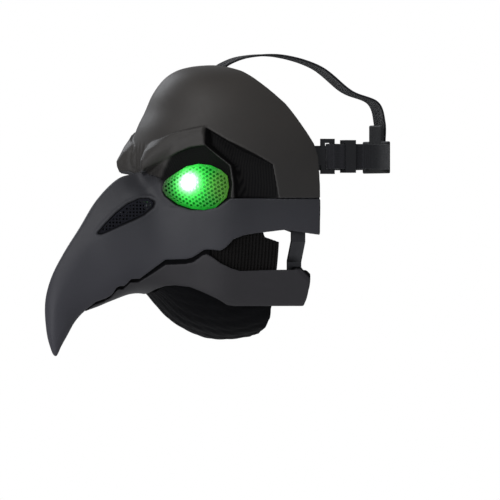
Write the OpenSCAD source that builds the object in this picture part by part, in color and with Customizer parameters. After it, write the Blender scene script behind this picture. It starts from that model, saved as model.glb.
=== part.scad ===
// Plague doctor mask with a hinged lower beak and lit eyes.
// Axes: +Z up, the face looks along -Y, the wearer's left is +X.
// Origin: midway between the wearer's ears, at eye height.

/* [Overall size] */
// Width across the forehead shell at the temples, mm
mask_width = 160; // [133:1:192]
// Reach from the ear line to the foremost point of the beak, mm
mask_reach = 182; // [152:1:218]
// Height scale datum: eye line to the crown edge, mm
crown_height = 97; // [81:1:116]

/* [Shell mouldings] */
// Wall thickness of the three moulded shells, mm
shell_t = 2.4; // [1.8:0.1:3]
// Gap at the parting line between forehead and beak shells, mm
parting_gap = 0.3; // [0.2:0.1:1]
// How far the jaw is set in behind the upper beak's face, mm
jaw_inset = 1.4; // [1:0.1:2]

/* [Eyes] */
// Thickness of the moulded eye screens, mm
screen_t = 1.1; // [0.8:0.1:1.6]
// How far the eye screens bulge out, mm
screen_bulge = 7; // [4:0.5:9]
// Radius of the eye lamps, mm
lamp_r = 2.5; // [1.5:0.1:3]

/* [Jaw hinge] */
// Radius of the hinge pins, mm
pin_r = 2.5; // [2:0.1:3.2]
// Running clearance of the jaw arms on the pins, mm
pin_clear = 0.05; // [0.03:0.01:0.1]
// Thickness of the steel arm and bracket plates, mm
plate_t = 2; // [1.5:0.1:2.2]
// Width of the jaw arms, mm
arm_w = 12; // [10:0.5:14]

/* [Battery case] */
// Radius of the coin cells, mm
cell_r = 10; // [8:0.1:11]
// Thickness of one coin cell, mm
cell_h = 3.2; // [2:0.1:3.4]

/* [Straps and pads] */
// Width of the elastic straps, mm
strap_w = 20; // [15:1:25]
// Thickness of the elastic straps, mm
strap_t = 1.8; // [1.2:0.1:2.2]
// Thickness of the foam pads, mm
pad_t = 6; // [4:0.5:7]

/* [Hidden] */
sx = mask_width / 160;
sy = mask_reach / 182;
sz = crown_height / 97;
eps = 0.01;

c_shell = [0.25, 0.25, 0.26];
c_black = [0.07, 0.07, 0.08];
c_steel = [0.62, 0.63, 0.65];
c_green = [0.1, 0.85, 0.25];
c_foam = [0.16, 0.16, 0.17];
c_cloth = [0.1, 0.1, 0.11];

// jaw hinge line: y and z of the pins, and the sideways stack from the shell inwards
hinge = [6 * sy, -22 * sz];
bracket_x = 73.4 * sx - 0.2;
arm_x = bracket_x - plate_t - 0.5;
// gap on each side of a washer, and washer thickness
play = 0.05;
washer_t = 0.4;
// screws: shank and head radii
screw_r = 1.2;
head_r = 2.3;
boss_r = 3.4;

// ---------- helpers ----------
function sp(p) = [p[0] * sx, p[1] * sy, p[2] * sz];
function cr(a, b, c, d, t) = 0.5 * ((2 * b) + (c - a) * t + (2 * a - 5 * b + 4 * c - d) * t * t +
    (3 * b - a - 3 * c + d) * t * t * t);
// point at parameter u (0..len-1) on the smooth curve through the rows of P
function on(P, u) = let (n = len(P), i = min(floor(u), n - 2), t = u - i)
    cr(P[max(i - 1, 0)], P[i], P[i + 1], P[min(i + 2, n - 1)], t);
function mid(r) = [for (k = [0:2]) let (s = [for (p = r) p[k]]) sum(s) / len(s)];
function sum(v, i = 0, a = 0) = i == len(v) ? a : sum(v, i + 1, a + v[i]);

// closed solid through a list of rings that all have the same number of points;
// crown: shift of the middle of the last end face
module loft(rings, flip = false, crown = [0, 0, 0]) {
    n = len(rings[0]);
    m = len(rings);
    pts = concat([for (r = rings) for (p = r) p], [mid(rings[0]), mid(rings[m - 1]) + crown]);
    side = [for (i = [0:m - 2]) for (j = [0:n - 1])
        let (a = i * n + j, b = i * n + (j + 1) % n, c = a + n, d = b + n)
        each [[a, b, d], [a, d, c]]];
    caps = [for (j = [0:n - 1]) each [[(j + 1) % n, j, m * n],
        [(m - 1) * n + j, (m - 1) * n + (j + 1) % n, m * n + 1]]];
    all = concat(side, caps);
    polyhedron(pts, flip ? [for (f = all) [f[2], f[1], f[0]]] : all);
}

// closed sheet through rings that run out along one face and back along the other
module sheet(rings, flip = false) {
    n = len(rings[0]);
    m = len(rings);
    side = [for (i = [0:m - 2]) for (j = [0:n - 1])
        let (a = i * n + j, b = i * n + (j + 1) % n, c = a + n, d = b + n)
        each [[a, b, d], [a, d, c]]];
    caps = [for (j = [0:n / 2 - 2]) let (a = j, b = j + 1, c = n - 2 - j, d = n - 1 - j, e = (m - 1) * n)
        each [[b, a, d], [b, d, c], [a + e, b + e, d + e], [b + e, c + e, d + e]]];
    all = concat(side, caps);
    polyhedron([for (r = rings) for (p = r) p], flip ? [for (f = all) [f[2], f[1], f[0]]] : all);
}

// ---------- beak and cheeks ----------
// Each station: top y z, bottom y z, then the half widths at five heights from top to bottom.
beak_st = [
    [48, 66, 48, -114, 62, 83, 86, 80, 62],
    [22, 58, 22, -114, 58, 79.5, 83, 77, 60],
    [0, 52, 0, -113, 54, 76, 78, 71, 56],
    [-28, 44, -28, -112, 47, 71, 69.5, 63, 50],
    [-52, 36, -52, -108, 40, 66.5, 62.5, 56.5, 45],
    [-76, 26, -74, -98, 27, 48.5, 49, 45, 35],
    [-101, 12, -93, -88, 11, 28, 35, 35, 26],
    [-119.5, 6.2, -108, -87, 9, 21.5, 28, 28.5, 20],
    [-137.8, -10.6, -124, -92, 7.2, 17, 22, 22.5, 15.5],
    [-152.4, -32.4, -137, -97, 6, 13, 17, 17, 11.5],
    [-166.2, -52.5, -148, -101, 5.2, 10.5, 13, 12.5, 8.3],
    [-177, -72, -156, -107, 4.6, 8.5, 10.2, 9.5, 6],
    [-182.3, -92, -163.5, -118, 4, 7, 8, 7.4, 4.8],
    [-181, -115, -169, -127, 3, 4.8, 5.5, 5, 3.2],
    [-177, -130, -171.8, -133, 1.6, 2.6, 3, 2.6, 1.6],
    [-174.5, -134.6, -173.2, -134.9, 0.3, 0.5, 0.6, 0.5, 0.3]];
beak_f = [0, 0.08, 0.25, 0.5, 0.75, 0.92, 1];

// one closed ring of the beak at station u, set in by d all round
function beak_ring(u, d, seg) =
    let (s = on(beak_st, u),
        top = [s[0], s[1]], bot = [s[2], s[3]],
        h = norm(bot - top), ax = (bot - top) / max(h, 0.01),
        half = [for (k = [0:6]) [k == 0 || k == 6 ? 0 : s[3 + k], beak_f[k] * h]],
        g = [[-half[1][0], half[1][1]], each half, [-half[5][0], half[5][1]]],
        wmax = max([for (q = half) q[0]]),
        kx = max(1 - d / max(wmax, 0.1), 0.02), ks = max(1 - 2.3 * d / max(h, 0.1), 0.02),
        side = [for (i = [0:seg * 6]) let (t = i / seg, j = min(floor(t), 5),
            q = cr(g[j], g[j + 1], g[j + 2], g[j + 3], t - j))
            [max(q[0], 0) * kx, h / 2 + (q[1] - h / 2) * ks]],
        line = concat(side, [for (i = [seg * 6 - 1:-1:1]) [-side[i][0], side[i][1]]]))
    [for (q = line) sp([q[0], top[0] + ax[0] * q[1], top[1] + ax[1] * q[1]])];

// d: distance set in; tip: last station; seg, sub: steps round and along
module beak_form(d = 0, tip = 15, seg = 5, sub = 3) {
    loft([for (i = [0:tip * sub]) beak_ring(i / sub, d, seg)]);
}

// ---------- forehead ----------
// Each level: height, half width, front y, corner fullness.
dome_st = [
    [-40, 77, -99, 2.15], [-15, 78.5, -100, 2.15], [5, 79.5, -101, 2.15], [25, 80, -101, 2.15],
    [44, 79, -97, 2.1], [60, 75.5, -89, 2.1], [73, 69, -83.5, 2.1], [84, 60.5, -76, 2.1],
    [91, 51, -67.5, 2.1], [95, 40, -57, 2.1], [97, 27, -42, 2.1], [97.6, 8, -14, 2]];
dome_yc = 6;

function dome_ring(u, d, seg) =
    let (s = on(dome_st, u), f = s[0] / 97, z = s[0] - d * max(f, 0) * max(f, 0),
        a = max(s[1] - d, 0.5), b = max(dome_yc - s[2] - d, 0.5), e = 2 / s[3],
        rear = 72 * b / 108)
    [for (i = [0:seg - 1]) let (t = 360 * i / seg, c = cos(t), n = sin(t))
        sp([a * sign(n) * pow(abs(n), e), dome_yc - (c > 0 ? b : rear) * sign(c) * pow(abs(c), e), z])];

module dome_form(d = 0, seg = 72, sub = 2) {
    loft([for (i = [0:(len(dome_st) - 1) * sub]) dome_ring(i / sub, d, seg)], flip = true);
}

// ---------- brow ----------
// Sections from the nose outwards: upper crease, face, lower edge.
brow_st = [
    [[8, -97.5, 30], [9, -102.5, 21], [8, -100.5, 9.5]],
    [[14, -99.5, 32.9], [17, -106.5, 22], [16.5, -106.6, 9.8]],
    [[20, -98.5, 35.5], [24, -110, 20], [24, -107.5, 12.5]],
    [[29, -96, 38], [33, -100.5, 27], [33, -95.5, 20.6]],
    [[38, -90, 42], [41, -88.5, 33], [41, -84, 27]],
    [[47, -81.5, 45], [48.5, -80, 38], [48.5, -76, 31]],
    [[55.5, -70, 47.6], [56.5, -71, 40], [56.5, -69.3, 32.2]]];

module brow_form(side, d = 0) {
    u = [for (k = [0:2]) [for (s = brow_st) s[k]]];
    first = d > 0 ? 3 : 0;
    rings = [for (i = [first:(len(brow_st) - 1) * 4]) let (a = on(u[0], i / 4) + [0, 0, -0.8 * d],
        b = on(u[1], i / 4), c = on(u[2], i / 4) + [0, 0, 1.3 * d])
        [for (p = [a, (a + b) / 2 + [0.4, -1.2, 0.3], b, (b + c) / 2 + [0.3, -0.6, 0], c, c + [-6, 22, 3],
            a + [-6, 22, -3]])
        sp([side * p[0], p[1] + d, p[2]])]];
    loft(rings, flip = side > 0);
}

// ---------- eye sockets, temple grooves and nostrils ----------
eye_rim = [
    [18, -103.5, 10.5], [24.5, -97.8, 3.5], [29.5, -94.8, -3], [31.5, -92.8, -7.6], [39, -86.2, -14.8],
    [47, -77.3, -18.4], [54.5, -67.9, -18.6], [61, -60.1, -16.4], [68, -52.4, -9.6], [69.2, -51.3, 2],
    [67.6, -52.8, 16.2], [62, -61.4, 24.2], [56, -69, 32.2], [47.5, -77, 30.6], [40.5, -85, 26.8],
    [33, -95.3, 20.6], [24, -106.2, 14.2]];
// lens outline in its own plane: along the plane from the nose side, height
lens_pts = [
    [2, 4.5], [0, -0.5], [0, -3.2], [3.2, -7.8], [13, -14.6], [24, -18.2], [34, -19.2], [44, -17.4],
    [53.5, -9], [55.4, 0], [54.2, 8.4], [48.5, 13.4], [40, 17.3], [30, 18.4], [20, 16.4], [11, 11], [5, 7]];
lens_o = [29, -94.2];
lens_d = [0.602, 0.799];
lens_n = [0.799, -0.602];
function lens_at(q, out = 0, grow = 0) =
    let (c = [27.5, -0.5], v = [q[0] - c[0], q[1] - c[1]], r = norm(v), w = v * (1 + grow / r))
    [lens_o[0] + lens_d[0] * (c[0] + w[0]) + lens_n[0] * out,
     lens_o[1] + lens_d[1] * (c[0] + w[0]) + lens_n[1] * out, c[1] + w[1]];

// pocket of the left eye, grown by g on its walls and sunk by g behind its floor
module eye_pocket(g = 0) {
    far = [for (i = [0:len(eye_rim) - 1]) eye_rim[i] + [24, -16, 0] +
        0.5 * (eye_rim[i] - lens_at(lens_pts[i]))];
    rings = [[for (p = far) sp(p)],
        [for (i = [0:len(eye_rim) - 1]) let (c = [48, -78, 4], v = eye_rim[i] - c)
            sp(eye_rim[i] + v * g / norm(v))],
        [for (q = lens_pts) sp(lens_at(q, -0.05 - 1.23 * g, g))]];
    loft(rings, crown = [-0.32, 0.24, 0]);
}
module lens_hole(grow = -1.6) {
    loft([[for (q = lens_pts) sp(lens_at(q, 6, grow))], [for (q = lens_pts) sp(lens_at(q, -12, grow))]]);
}

groove_rim = [
    [55.8, -69.8, 47.6], [66, -56, 37.6], [74, -40, 29], [79.5, -22, 18], [80.5, -18, -9.4],
    [74, -37, -9.4], [69.9, -50.2, -9.4], [69.6, -50.6, 2], [68.4, -52, 16.6], [62.6, -60.6, 25], [56.4,
        -68.4, 33]];
groove_bed = [
    [52, -62, 44], [58.5, -49, 35], [65, -38, 27], [76, -18, 17], [77, -14, -8.6],
    [67.5, -36, -8.6], [66, -45, -8.6], [65.6, -45.5, 2], [63.8, -45.8, 15], [58, -53.5, 24], [53, -61, 32]];
module groove_pocket(g = 0) {
    n = len(groove_rim);
    cr_ = mid(groove_rim);
    cb = mid(groove_bed);
    rings = [
        [for (i = [0:n - 1]) sp(groove_rim[i] + 3 * (groove_rim[i] - groove_bed[i]) + [6, -2, 0])],
        [for (i = [0:n - 1]) let (v = groove_rim[i] - cr_) sp(groove_rim[i] + v * g / norm(v))],
        [for (i = [0:n - 1]) let (v = groove_bed[i] - cb) sp(groove_bed[i] + v * g / norm(v) + g * [-0.95,
            0.2, 0])]];
    loft(rings, flip = true);
}

nose_rim = [
    [15.5, -144.3, -37.6], [16.5, -138.3, -30.4], [18.5, -130, -21.3], [21, -120.1, -13.1], [24, -110.1, -9],
    [26.5, -103.3, -9], [28, -99.6, -12], [28.5, -100.9, -16], [27, -107.9, -22.2], [24.5, -115.8, -26.4],
    [21, -126.6, -31.2], [18.3, -134.8, -35.2], [16.3, -141.3, -38]];
nose_c = mid(nose_rim);
nose_n = [0.9535, -0.3012, 0];
// rim point grown by g and moved out; below the face the ring is flat
function nose_pt(p, g, out) = let (v = p - nose_c, w = p + v * g / norm(v))
    (out < 0 ? w - nose_n * ((w - nose_c) * nose_n) : w) + nose_n * out;
module nose_pocket(g = 0) {
    loft([for (k = [[0, 10], [0, 0], [-1, -4.5 - g]]) [for (p = nose_rim) sp(nose_pt(p, g + k[0], k[1]))]],
        flip = true);
}

module both() {
    // children and their mirror image
    children();
    mirror([1, 0, 0]) children();
}
module pockets(g = 0) {
    both() {
        eye_pocket(g);
        groove_pocket(g);
        nose_pocket(g);
    }
}

// ---------- side-view cutting lines, [y, z] ----------
part_line = [[-150, 12.6], [-104, 12.6], [-98, 9], [-90, 2.5], [-82, -5], [-70, -8.5], [-54, -9.4], [60,
    -9.6]];
lip_line = [
    [-175, -150], [-163, -116], [-160, -110], [-156, -104.5], [-150, -97.5], [-143.5, -91.5], [-135, -88.5],
    [-131, -85.5], [-129, -80.5], [-126.5, -79], [-122.5, -79], [-118, -73.5], [-111, -73.2], [-103, -66],
        [-94, -58.2],
    [-79, -57.6], [-75, -56.4], [-67.5, -50.5], [-65.3, -50], [-56, -51], [-52.5, -48.6], [-47, -42],
        [-39.7, -39],
    [-31, -37.4], [-8, -34.5], [16, -38], [60, -44]];
jaw_line = [
    [-162, -118], [-156, -107.2], [-150, -100.3], [-143.5, -94.2], [-135, -91], [-130.3, -88.2], [-127.8,
        -83.2],
    [-126, -81.7], [-121.5, -81.4], [-117, -76], [-110.3, -75.8], [-102, -69.2], [-93, -61.9], [-79.5, -61.4],
    [-74, -60], [-68, -54.6], [-65, -53.6], [-61, -56], [-55, -60.8], [-47, -64.8], [-40, -67],
    [-28, -66.6], [-8, -66], [30, -66]];
jaw_base = [
    [-101, -130], [-97.5, -90], [-94.5, -81.5], [-90, -79], [-84, -78.4], [-74, -79.8], [-65, -83.8], [-55,
        -88.8],
    [-45.5, -94.2], [-40, -95], [30, -95]];
rear_line = [[-46, 130], [-42, 99], [-30, 92], [-6, 66], [16, 34], [26, 6], [29, -20], [27, -50]];
jaw_rear = [[12, -60], [9, -100]];

module slab(pts) {
    rotate([90, 0, 90]) translate([0, 0,
        -150 * sx]) linear_extrude(300 * sx) polygon([for (p = pts) [p[0] * sy, p[1] * sz]]);
}
module above(line, shift = 0) {
    n = len(line);
    slab(concat([for (p = line) p + [0, shift / sz]], [[line[n - 1][0], 200], [line[0][0] - 60, 200],
        [line[0][0] - 60, line[0][1] + shift]]));
}
module below(line, shift = 0) {
    n = len(line);
    slab(concat([for (p = line) p + [0, shift / sz]], [[line[n - 1][0], -200], [line[0][0] - 60, -200],
        [line[0][0] - 60, line[0][1] + shift]]));
}
module ahead(line) {
    n = len(line);
    slab(concat(line, [[line[n - 1][0], -200], [-300, -200], [-300, 200], [line[0][0], 200]]));
}

// ---------- frames of reference for the hardware ----------
// local X along the lens away from the nose, local Y up, local Z out of the face
lens_dir = let (v = [lens_d[0] * sx, lens_d[1] * sy]) v / norm(v);
module lens_place(q, out = 0) {
    d = lens_dir;
    translate(sp(lens_at(q))) multmatrix([[d[0], 0, d[1], 0], [d[1], 0, -d[0], 0], [0, 1, 0, 0], [0, 0, 0,
        1]])
        translate([0, 0, out]) children();
}
// a bar of radius r along +X from x0 to x1 at y, z
module xbar(r, x0, x1, y, z, fn = 32) {
    translate([x0, y, z]) rotate([0, 90, 0]) cylinder(r = r, h = x1 - x0, $fn = fn);
}
// how far the frame screws stand outside the lens outline
frame_off = 0.9;
function frame_points() = [lens_pts[15], lens_pts[12], lens_pts[4], lens_pts[7]];
function bracket_points() = [[-5 * sy, 0], [11 * sy, 0], [-5.5 * sy, -19 * sz], [13.2 * sy, -13 * sz]];
jaw_screw_points = [[6 * sy, -67 * sz], [6 * sy, -76 * sz]];
arm_low_x = 61.2 * sx;

// ---------- mouldings ----------
module face_form(d = 0) {
    if (d > 0) beak_form(d, 13, 3, 2);
    else beak_form(d, 15);
    intersection() {
        dome_form(d, d > 0 ? 48 : 72, d > 0 ? 1 : 2);
        above([[-200, 11], [-104, 11], [-99, -4], [-95, -14], [-87, -14], [-80, -9.4], [100, -9.4]], -d);
    }
    both() brow_form(1, d * 1.4);
}
module nose_hole() {
    loft([for (k = [-3, -14]) [for (p = nose_rim) sp(nose_pt(p, -2.4, k))]], flip = true);
}
module face_shell() {
    difference() {
        union() {
            difference() {
                face_form();
                pockets();
                difference() {
                    union() {
                        face_form(shell_t);
                        slab([[20, 70], [60, 60], [60, -130], [20, -130]]);
                    }
                    pockets(shell_t);
                }
            }
            // posts for the hinge brackets and the return bands, inside the outer face
            intersection() {
                face_form(0.6);
                both() {
                    for (p = bracket_points()) xbar(boss_r, bracket_x + play, 95 * sx, p[0], p[1], 20);
                    xbar(1.6, 65.6 * sx, 90 * sx, -18 * sy, -27 * sz, 16);
                    xbar(2.5, 64.8 * sx, 65.7 * sx, -18 * sy, -27 * sz, 16);
                }
            }
            intersection() {
                face_form(0.6);
                crown_place() translate([0, 0, 1.85]) cylinder(r = boss_r, h = 20, $fn = 20);
            }
        }
        both() {
            lens_hole();
            nose_hole();
            for (p = bracket_points()) xbar(screw_r + 0.08, bracket_x - 1, bracket_x + 3.6, p[0], p[1], 20);
            for (q = frame_points()) lens_place(lens_grow(q, frame_off), -4.6) cylinder(r = 1, h = 4, $fn = 16);
            xbar(2.08, 70 * sx, 90 * sx, anchor[0], anchor[1], 24);
        }
        crown_place() cylinder(r = screw_r + 0.08, h = 6, $fn = 20);
    }
}
function lens_grow(q, g) = let (c = [27.5, -0.5], v = [q[0] - c[0], q[1] - c[1]], r = norm(v)) c +
    v * (1 + g / r);
anchor = [9 * sy, 24 * sz];
// plane of the crown anchor, and its two screw places
module crown_plane() {
    translate([0, -62 * sy, 85.7 * sz]) rotate([10, 0, 0]) children();
}
module crown_place() {
    for (s = [-1, 1]) crown_plane() translate([s * 9, 4, 0]) children();
}
module as_mesh() { resize([0, 0, 0]) children(); }

// inner part of the wall, from d below the outer face inwards
module wall_core(d) {
    difference() {
        face_form(d);
        pockets(d);
    }
}
// side view of the lap at the temples, where the beak shell reaches up behind the forehead shell
module lap_band(y, h) {
    slab([[y, -16], [y, -9.4 + h], [70, -9.4 + h], [70, -16]]);
}
module forehead_shell() {
    color(c_shell) as_mesh() difference() {
        intersection() {
            face_shell();
            above(part_line, parting_gap / 2);
            ahead(rear_line);
        }
        intersection() {
            wall_core(shell_t / 2 - 0.08);
            lap_band(-48.3, 2.4);
        }
    }
}
module beak_shell() {
    color(c_shell) as_mesh() intersection() {
        face_shell();
        union() {
            below(part_line, -parting_gap / 2);
            intersection() {
                wall_core(shell_t / 2 + 0.08);
                lap_band(-48, 2.1);
            }
        }
        above(lip_line);
        ahead(rear_line);
    }
}
module jaw_shell() {
    color(c_shell) as_mesh() difference() {
        union() {
            intersection() {
                difference() {
                    beak_form(jaw_inset, 13, 5, 3);
                    beak_form(jaw_inset + shell_t, 12, 3, 2);
                }
                below(jaw_line);
                above(jaw_base);
                ahead([[17, 200], [17, -60], [14, -100]]);
            }
            intersection() {
                beak_form(jaw_inset + 0.6, 13, 3, 1);
                both() for (p = jaw_screw_points) xbar(boss_r, arm_low_x + plate_t + play, 90 * sx, p[0],
                    p[1], 20);
            }
            intersection() {
                beak_form(jaw_inset + 0.6, 13, 3, 1);
                translate([0, -101 * sy, -95 * sz]) cylinder(r = 4.2, h = 13.7 * sz, $fn = 24);
            }
        }
        both() for (p = jaw_screw_points)
            xbar(screw_r + 0.08, arm_low_x, arm_low_x + plate_t + 5, p[0], p[1], 20);
        translate([0, -101 * sy, -86 * sz]) cylinder(r = screw_r + 0.08, h = 10, $fn = 20);
    }
}

// ---------- eyes (left ones, mirrored for the right) ----------
function lens_ring(k, out, grow, h) = [for (q = lens_pts) let (c = [27.5, -0.5], g = lens_grow(q, grow),
    w = c + (g - c) * k)
    sp(lens_at(w, out + h * (1 - pow(k, 2.2))))];
module lens_dome(out, grow, h, t) {
    ks = [0.18, 0.38, 0.56, 0.72, 0.84, 0.93, 1];
    loft(concat([for (k = ks) lens_ring(k, out, grow, h)], [for (i = [len(ks) - 1:-1:0]) lens_ring(ks[i],
        out - t, grow, h)]),
        flip = false);
}
module eye_screen() {
    color(c_green) lens_dome(screen_t + 0.05, -0.5, screen_bulge, screen_t);
}
module eye_lens() {
    color([0.2, 0.9, 0.35, 0.6]) lens_dome(-0.4, -2.4, screen_bulge - 0.6, 0.5);
}
module eye_frame() {
    color(c_black) difference() {
        loft([for (o = [-3.15, -4.75]) [for (q = lens_pts) sp(lens_at(q, o, q[0] < 4 ? 0.9 : 3.2))]]);
        loft([[for (q = lens_pts) sp(lens_at(q, 1, -1.9))], [for (q = lens_pts) sp(lens_at(q, -12, -1.9))]]);
        for (q = frame_points()) lens_place(lens_grow(q, frame_off), -9) cylinder(r = 1, h = 8, $fn = 20);
    }
}
module eye_frame_screws() {
    color(c_steel) both() for (q = frame_points()) lens_place(lens_grow(q, frame_off), 0) {
        translate([0, 0, -5.8]) cylinder(r = 1.7, h = 1, $fn = 32);
        translate([0, 0, -4.8]) cylinder(r = 0.9, h = 3.9, $fn = 24);
    }
}
lamp_q = [25.7, 3.2];
lamp_out = -7.4;
module lamp_bracket() {
    color(c_black) lens_place(lamp_q, lamp_out) difference() {
        union() {
            cylinder(r = lamp_r + 1.7, h = 3, $fn = 40);
            translate([-2.2, lamp_r + 0.6, 0]) cube([4.4, 20.4 * sz - 3.2 * sz, 1.6]);
            translate([-3.2, 18.2 * sz - 3.2 * sz, 0]) cube([6.4, 3.2, -4.8 - lamp_out]);
        }
        translate([0, 0, -1]) cylinder(r = lamp_r + 0.04, h = 6, $fn = 40);
    }
}
module lamp() {
    color([0.75, 1, 0.8]) lens_place(lamp_q, lamp_out) {
        translate([0, 0, -1.1]) cylinder(r = lamp_r + 0.4, h = 1.05, $fn = 40);
        translate([0, 0, -0.2]) cylinder(r = lamp_r, h = 3.6, $fn = 40);
        translate([0, 0, 3.4]) intersection() {
            sphere(r = lamp_r, $fn = 40);
            cylinder(r = lamp_r * 2, h = 9, $fn = 40);
        }
        for (s = [-1, 1]) translate([s * 1.27, 0, -3.6]) cylinder(r = 0.3, h = 2.6, $fn = 16);
    }
}

// ---------- vents ----------
// local X runs back along the nostril, local Y up its width, local Z out
module nose_place(out = 0) {
    p = sp(nose_c);
    m = let (v = [nose_n[0] * sy, nose_n[1] * sx]) v / norm(v);
    translate(p) multmatrix([[-m[1], 0, m[0], 0], [m[0], 0, m[1], 0], [0, 1, 0, 0], [0, 0, 0,
        1]]) translate([0, 0, out]) children();
}
function nose_flat(g) = [for (p = nose_rim) let (v = p - nose_c, w = v * (1 + g / norm(v)),
    m = let (v = [nose_n[0] * sy, nose_n[1] * sx]) v / norm(v)) [-m[1] * w[0] * sx + m[0] * w[1] * sy,
        w[2] * sz]];
grille_pitch = 2.7;
module nostril_grille() {
    color(c_black) nose_place(-4.42) linear_extrude(1) difference() {
        polygon(nose_flat(-1.3));
        intersection() {
            polygon(nose_flat(-3.1));
            for (i = [-9:9], j = [-9:9]) translate([i, j] * grille_pitch) rotate(8) square(1.5,
                center = true);
        }
    }
}
cheek_area = [
    [-68, -46], [-60, -44], [-53, -40], [-47, -34], [-38, -31.5], [-24, -31], [-21, -40], [-10, -44], [-10,
        -70],
    [-28, -71], [-42, -71.5], [-55, -66], [-66, -58]];
module cheek_mesh() {
    color(c_black) as_mesh() intersection() {
        union() {
            difference() {
                beak_form(5, 12, 2, 1);
                beak_form(6.2, 12, 2, 1);
            }
            intersection() {
                difference() {
                    beak_form(shell_t + 0.15, 12, 2, 1);
                    beak_form(6.2, 12, 2, 1);
                }
                slab([[-60, -42], [-53, -38], [-47, -32], [-38, -28], [-24, -28], [-23, -35], [-31, -36.2],
                    [-39.7, -37.8],
                    [-47, -40.6], [-52, -46], [-60, -48]]);
            }
        }
        slab(cheek_area);
        translate([0, -150 * sy, -150]) cube([150 * sx, 300, 300]);
    }
}

// ---------- jaw hinge (left side, mirrored for the right) ----------
module yz_plate(x, t) {
    translate([x, 0, 0]) rotate([90, 0, 90]) linear_extrude(t) children();
}
module hinge_bracket() {
    color(c_steel) difference() {
        yz_plate(bracket_x - plate_t, plate_t) union() {
            translate([-9 * sy, -24 * sz]) square([26 * sy, 29 * sz]);
            translate(hinge) circle(r = 9, $fn = 64);
        }
        xbar(pin_r, 0, 100 * sx, hinge[0], hinge[1], 64);
        for (p = bracket_points()) xbar(screw_r + 0.1, 0, 100 * sx, p[0], p[1], 32);
    }
}
module bracket_screws() {
    color(c_steel) both() for (p = bracket_points()) {
        xbar(head_r, bracket_x - plate_t - 1.1, bracket_x - plate_t - 0.01, p[0], p[1], 32);
        xbar(screw_r, bracket_x - plate_t - 0.5, bracket_x + 3.2, p[0], p[1], 32);
    }
}
module hinge_pin() {
    color(c_steel) {
        xbar(pin_r, arm_x - plate_t - 0.2, bracket_x, hinge[0], hinge[1], 64);
        xbar(pin_r + 2, arm_x - plate_t - 1.25, arm_x - plate_t - play, hinge[0], hinge[1], 64);
    }
}
module hinge_washers() {
    color([0.85, 0.85, 0.8]) both() difference() {
        xbar(pin_r + 2.3, arm_x + play, arm_x + play + washer_t, hinge[0], hinge[1], 64);
        xbar(pin_r + pin_clear, 0, 100 * sx, hinge[0], hinge[1], 64);
    }
}
module jaw_arm() {
    x1 = arm_x;
    x0 = arm_x - plate_t;
    zb = -81 * sz;
    a = arm_low_x;
    color(c_steel) difference() {
        union() {
            translate([0, hinge[0] + arm_w / 2, 0]) rotate([90, 0, 0]) linear_extrude(arm_w) polygon([
                [x1, hinge[1]], [x1, -44 * sz], [a + plate_t, -60 * sz], [a + plate_t, zb], [a, zb],
                [a, -59 * sz], [x0, -43 * sz], [x0, hinge[1]]]);
            xbar(arm_w / 2, x0, x1, hinge[0], hinge[1], 64);
            xbar(1.6, x0 - 3.2, x0 + 0.5, hinge[0], hinge[1] - 13 * sz, 32);
            xbar(2.5, x0 - 4, x0 - 3.1, hinge[0], hinge[1] - 13 * sz, 32);
        }
        xbar(pin_r + pin_clear, 0, 100 * sx, hinge[0], hinge[1], 64);
        for (p = jaw_screw_points) xbar(screw_r + 0.1, 0, 100 * sx, p[0], p[1], 32);
    }
}
module jaw_arm_screws() {
    color(c_steel) both() for (p = jaw_screw_points) {
        xbar(head_r, arm_low_x - 1.1, arm_low_x - 0.01, p[0], p[1], 32);
        xbar(screw_r, arm_low_x - 0.5, arm_low_x + plate_t + 3.6, p[0], p[1], 32);
    }
}
module stadium(a, b, r) {
    v = b - a;
    translate(a) circle(r = r, $fn = 40);
    translate(b) circle(r = r, $fn = 40);
    translate(a) rotate(atan2(v[1], v[0])) translate([0, -r]) square([norm(v), 2 * r]);
}
module return_band() {
    a = [-18 * sy, -27 * sz];
    b = [hinge[0], hinge[1] - 13 * sz];
    color(c_cloth) yz_plate(arm_x - plate_t - 2.7, 2) difference() {
        stadium(a, b, 2.9);
        stadium(a, b, 1.72);
    }
}

// ---------- chin ----------
module chin_bar() {
    color(c_steel) difference() {
        rotate([90, 0, 90]) translate([0, 0, -6]) linear_extrude(12) polygon([for (p = [
            [-104.5, -81.2], [-91.6, -81.2], [-81.5, -92.2], [-68, -101.8], [-67.1, -100.4], [-80.4,
                -90.8], [-91, -79.6],
            [-104.5, -79.6]])
            [p[0] * sy, p[1] * sz]]);
        translate([0, -101 * sy, -90 * sz]) cylinder(r = screw_r + 0.1, h = 20, $fn = 32);
    }
}
module chin_bar_screw() {
    color(c_steel) translate([0, -101 * sy, 0]) {
        translate([0, 0, -79.59 * sz]) cylinder(r = head_r, h = 1.1, $fn = 32);
        translate([0, 0, -79.5 * sz - 5]) cylinder(r = screw_r, h = 5.5, $fn = 32);
    }
}
chin_c = [0, -54 * sy, -74 * sz];
module bowl(r0, r1, top) {
    translate(chin_c) difference() {
        sphere(r = r1, $fn = 72);
        sphere(r = r0, $fn = 72);
        translate([-60, -60, top]) cube([120, 120, 60]);
    }
}
module chin_cup() {
    color(c_black) bowl(26, 27.8, -13);
}
module chin_pad() {
    color(c_foam) bowl(22, 25.7, -14);
}
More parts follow.
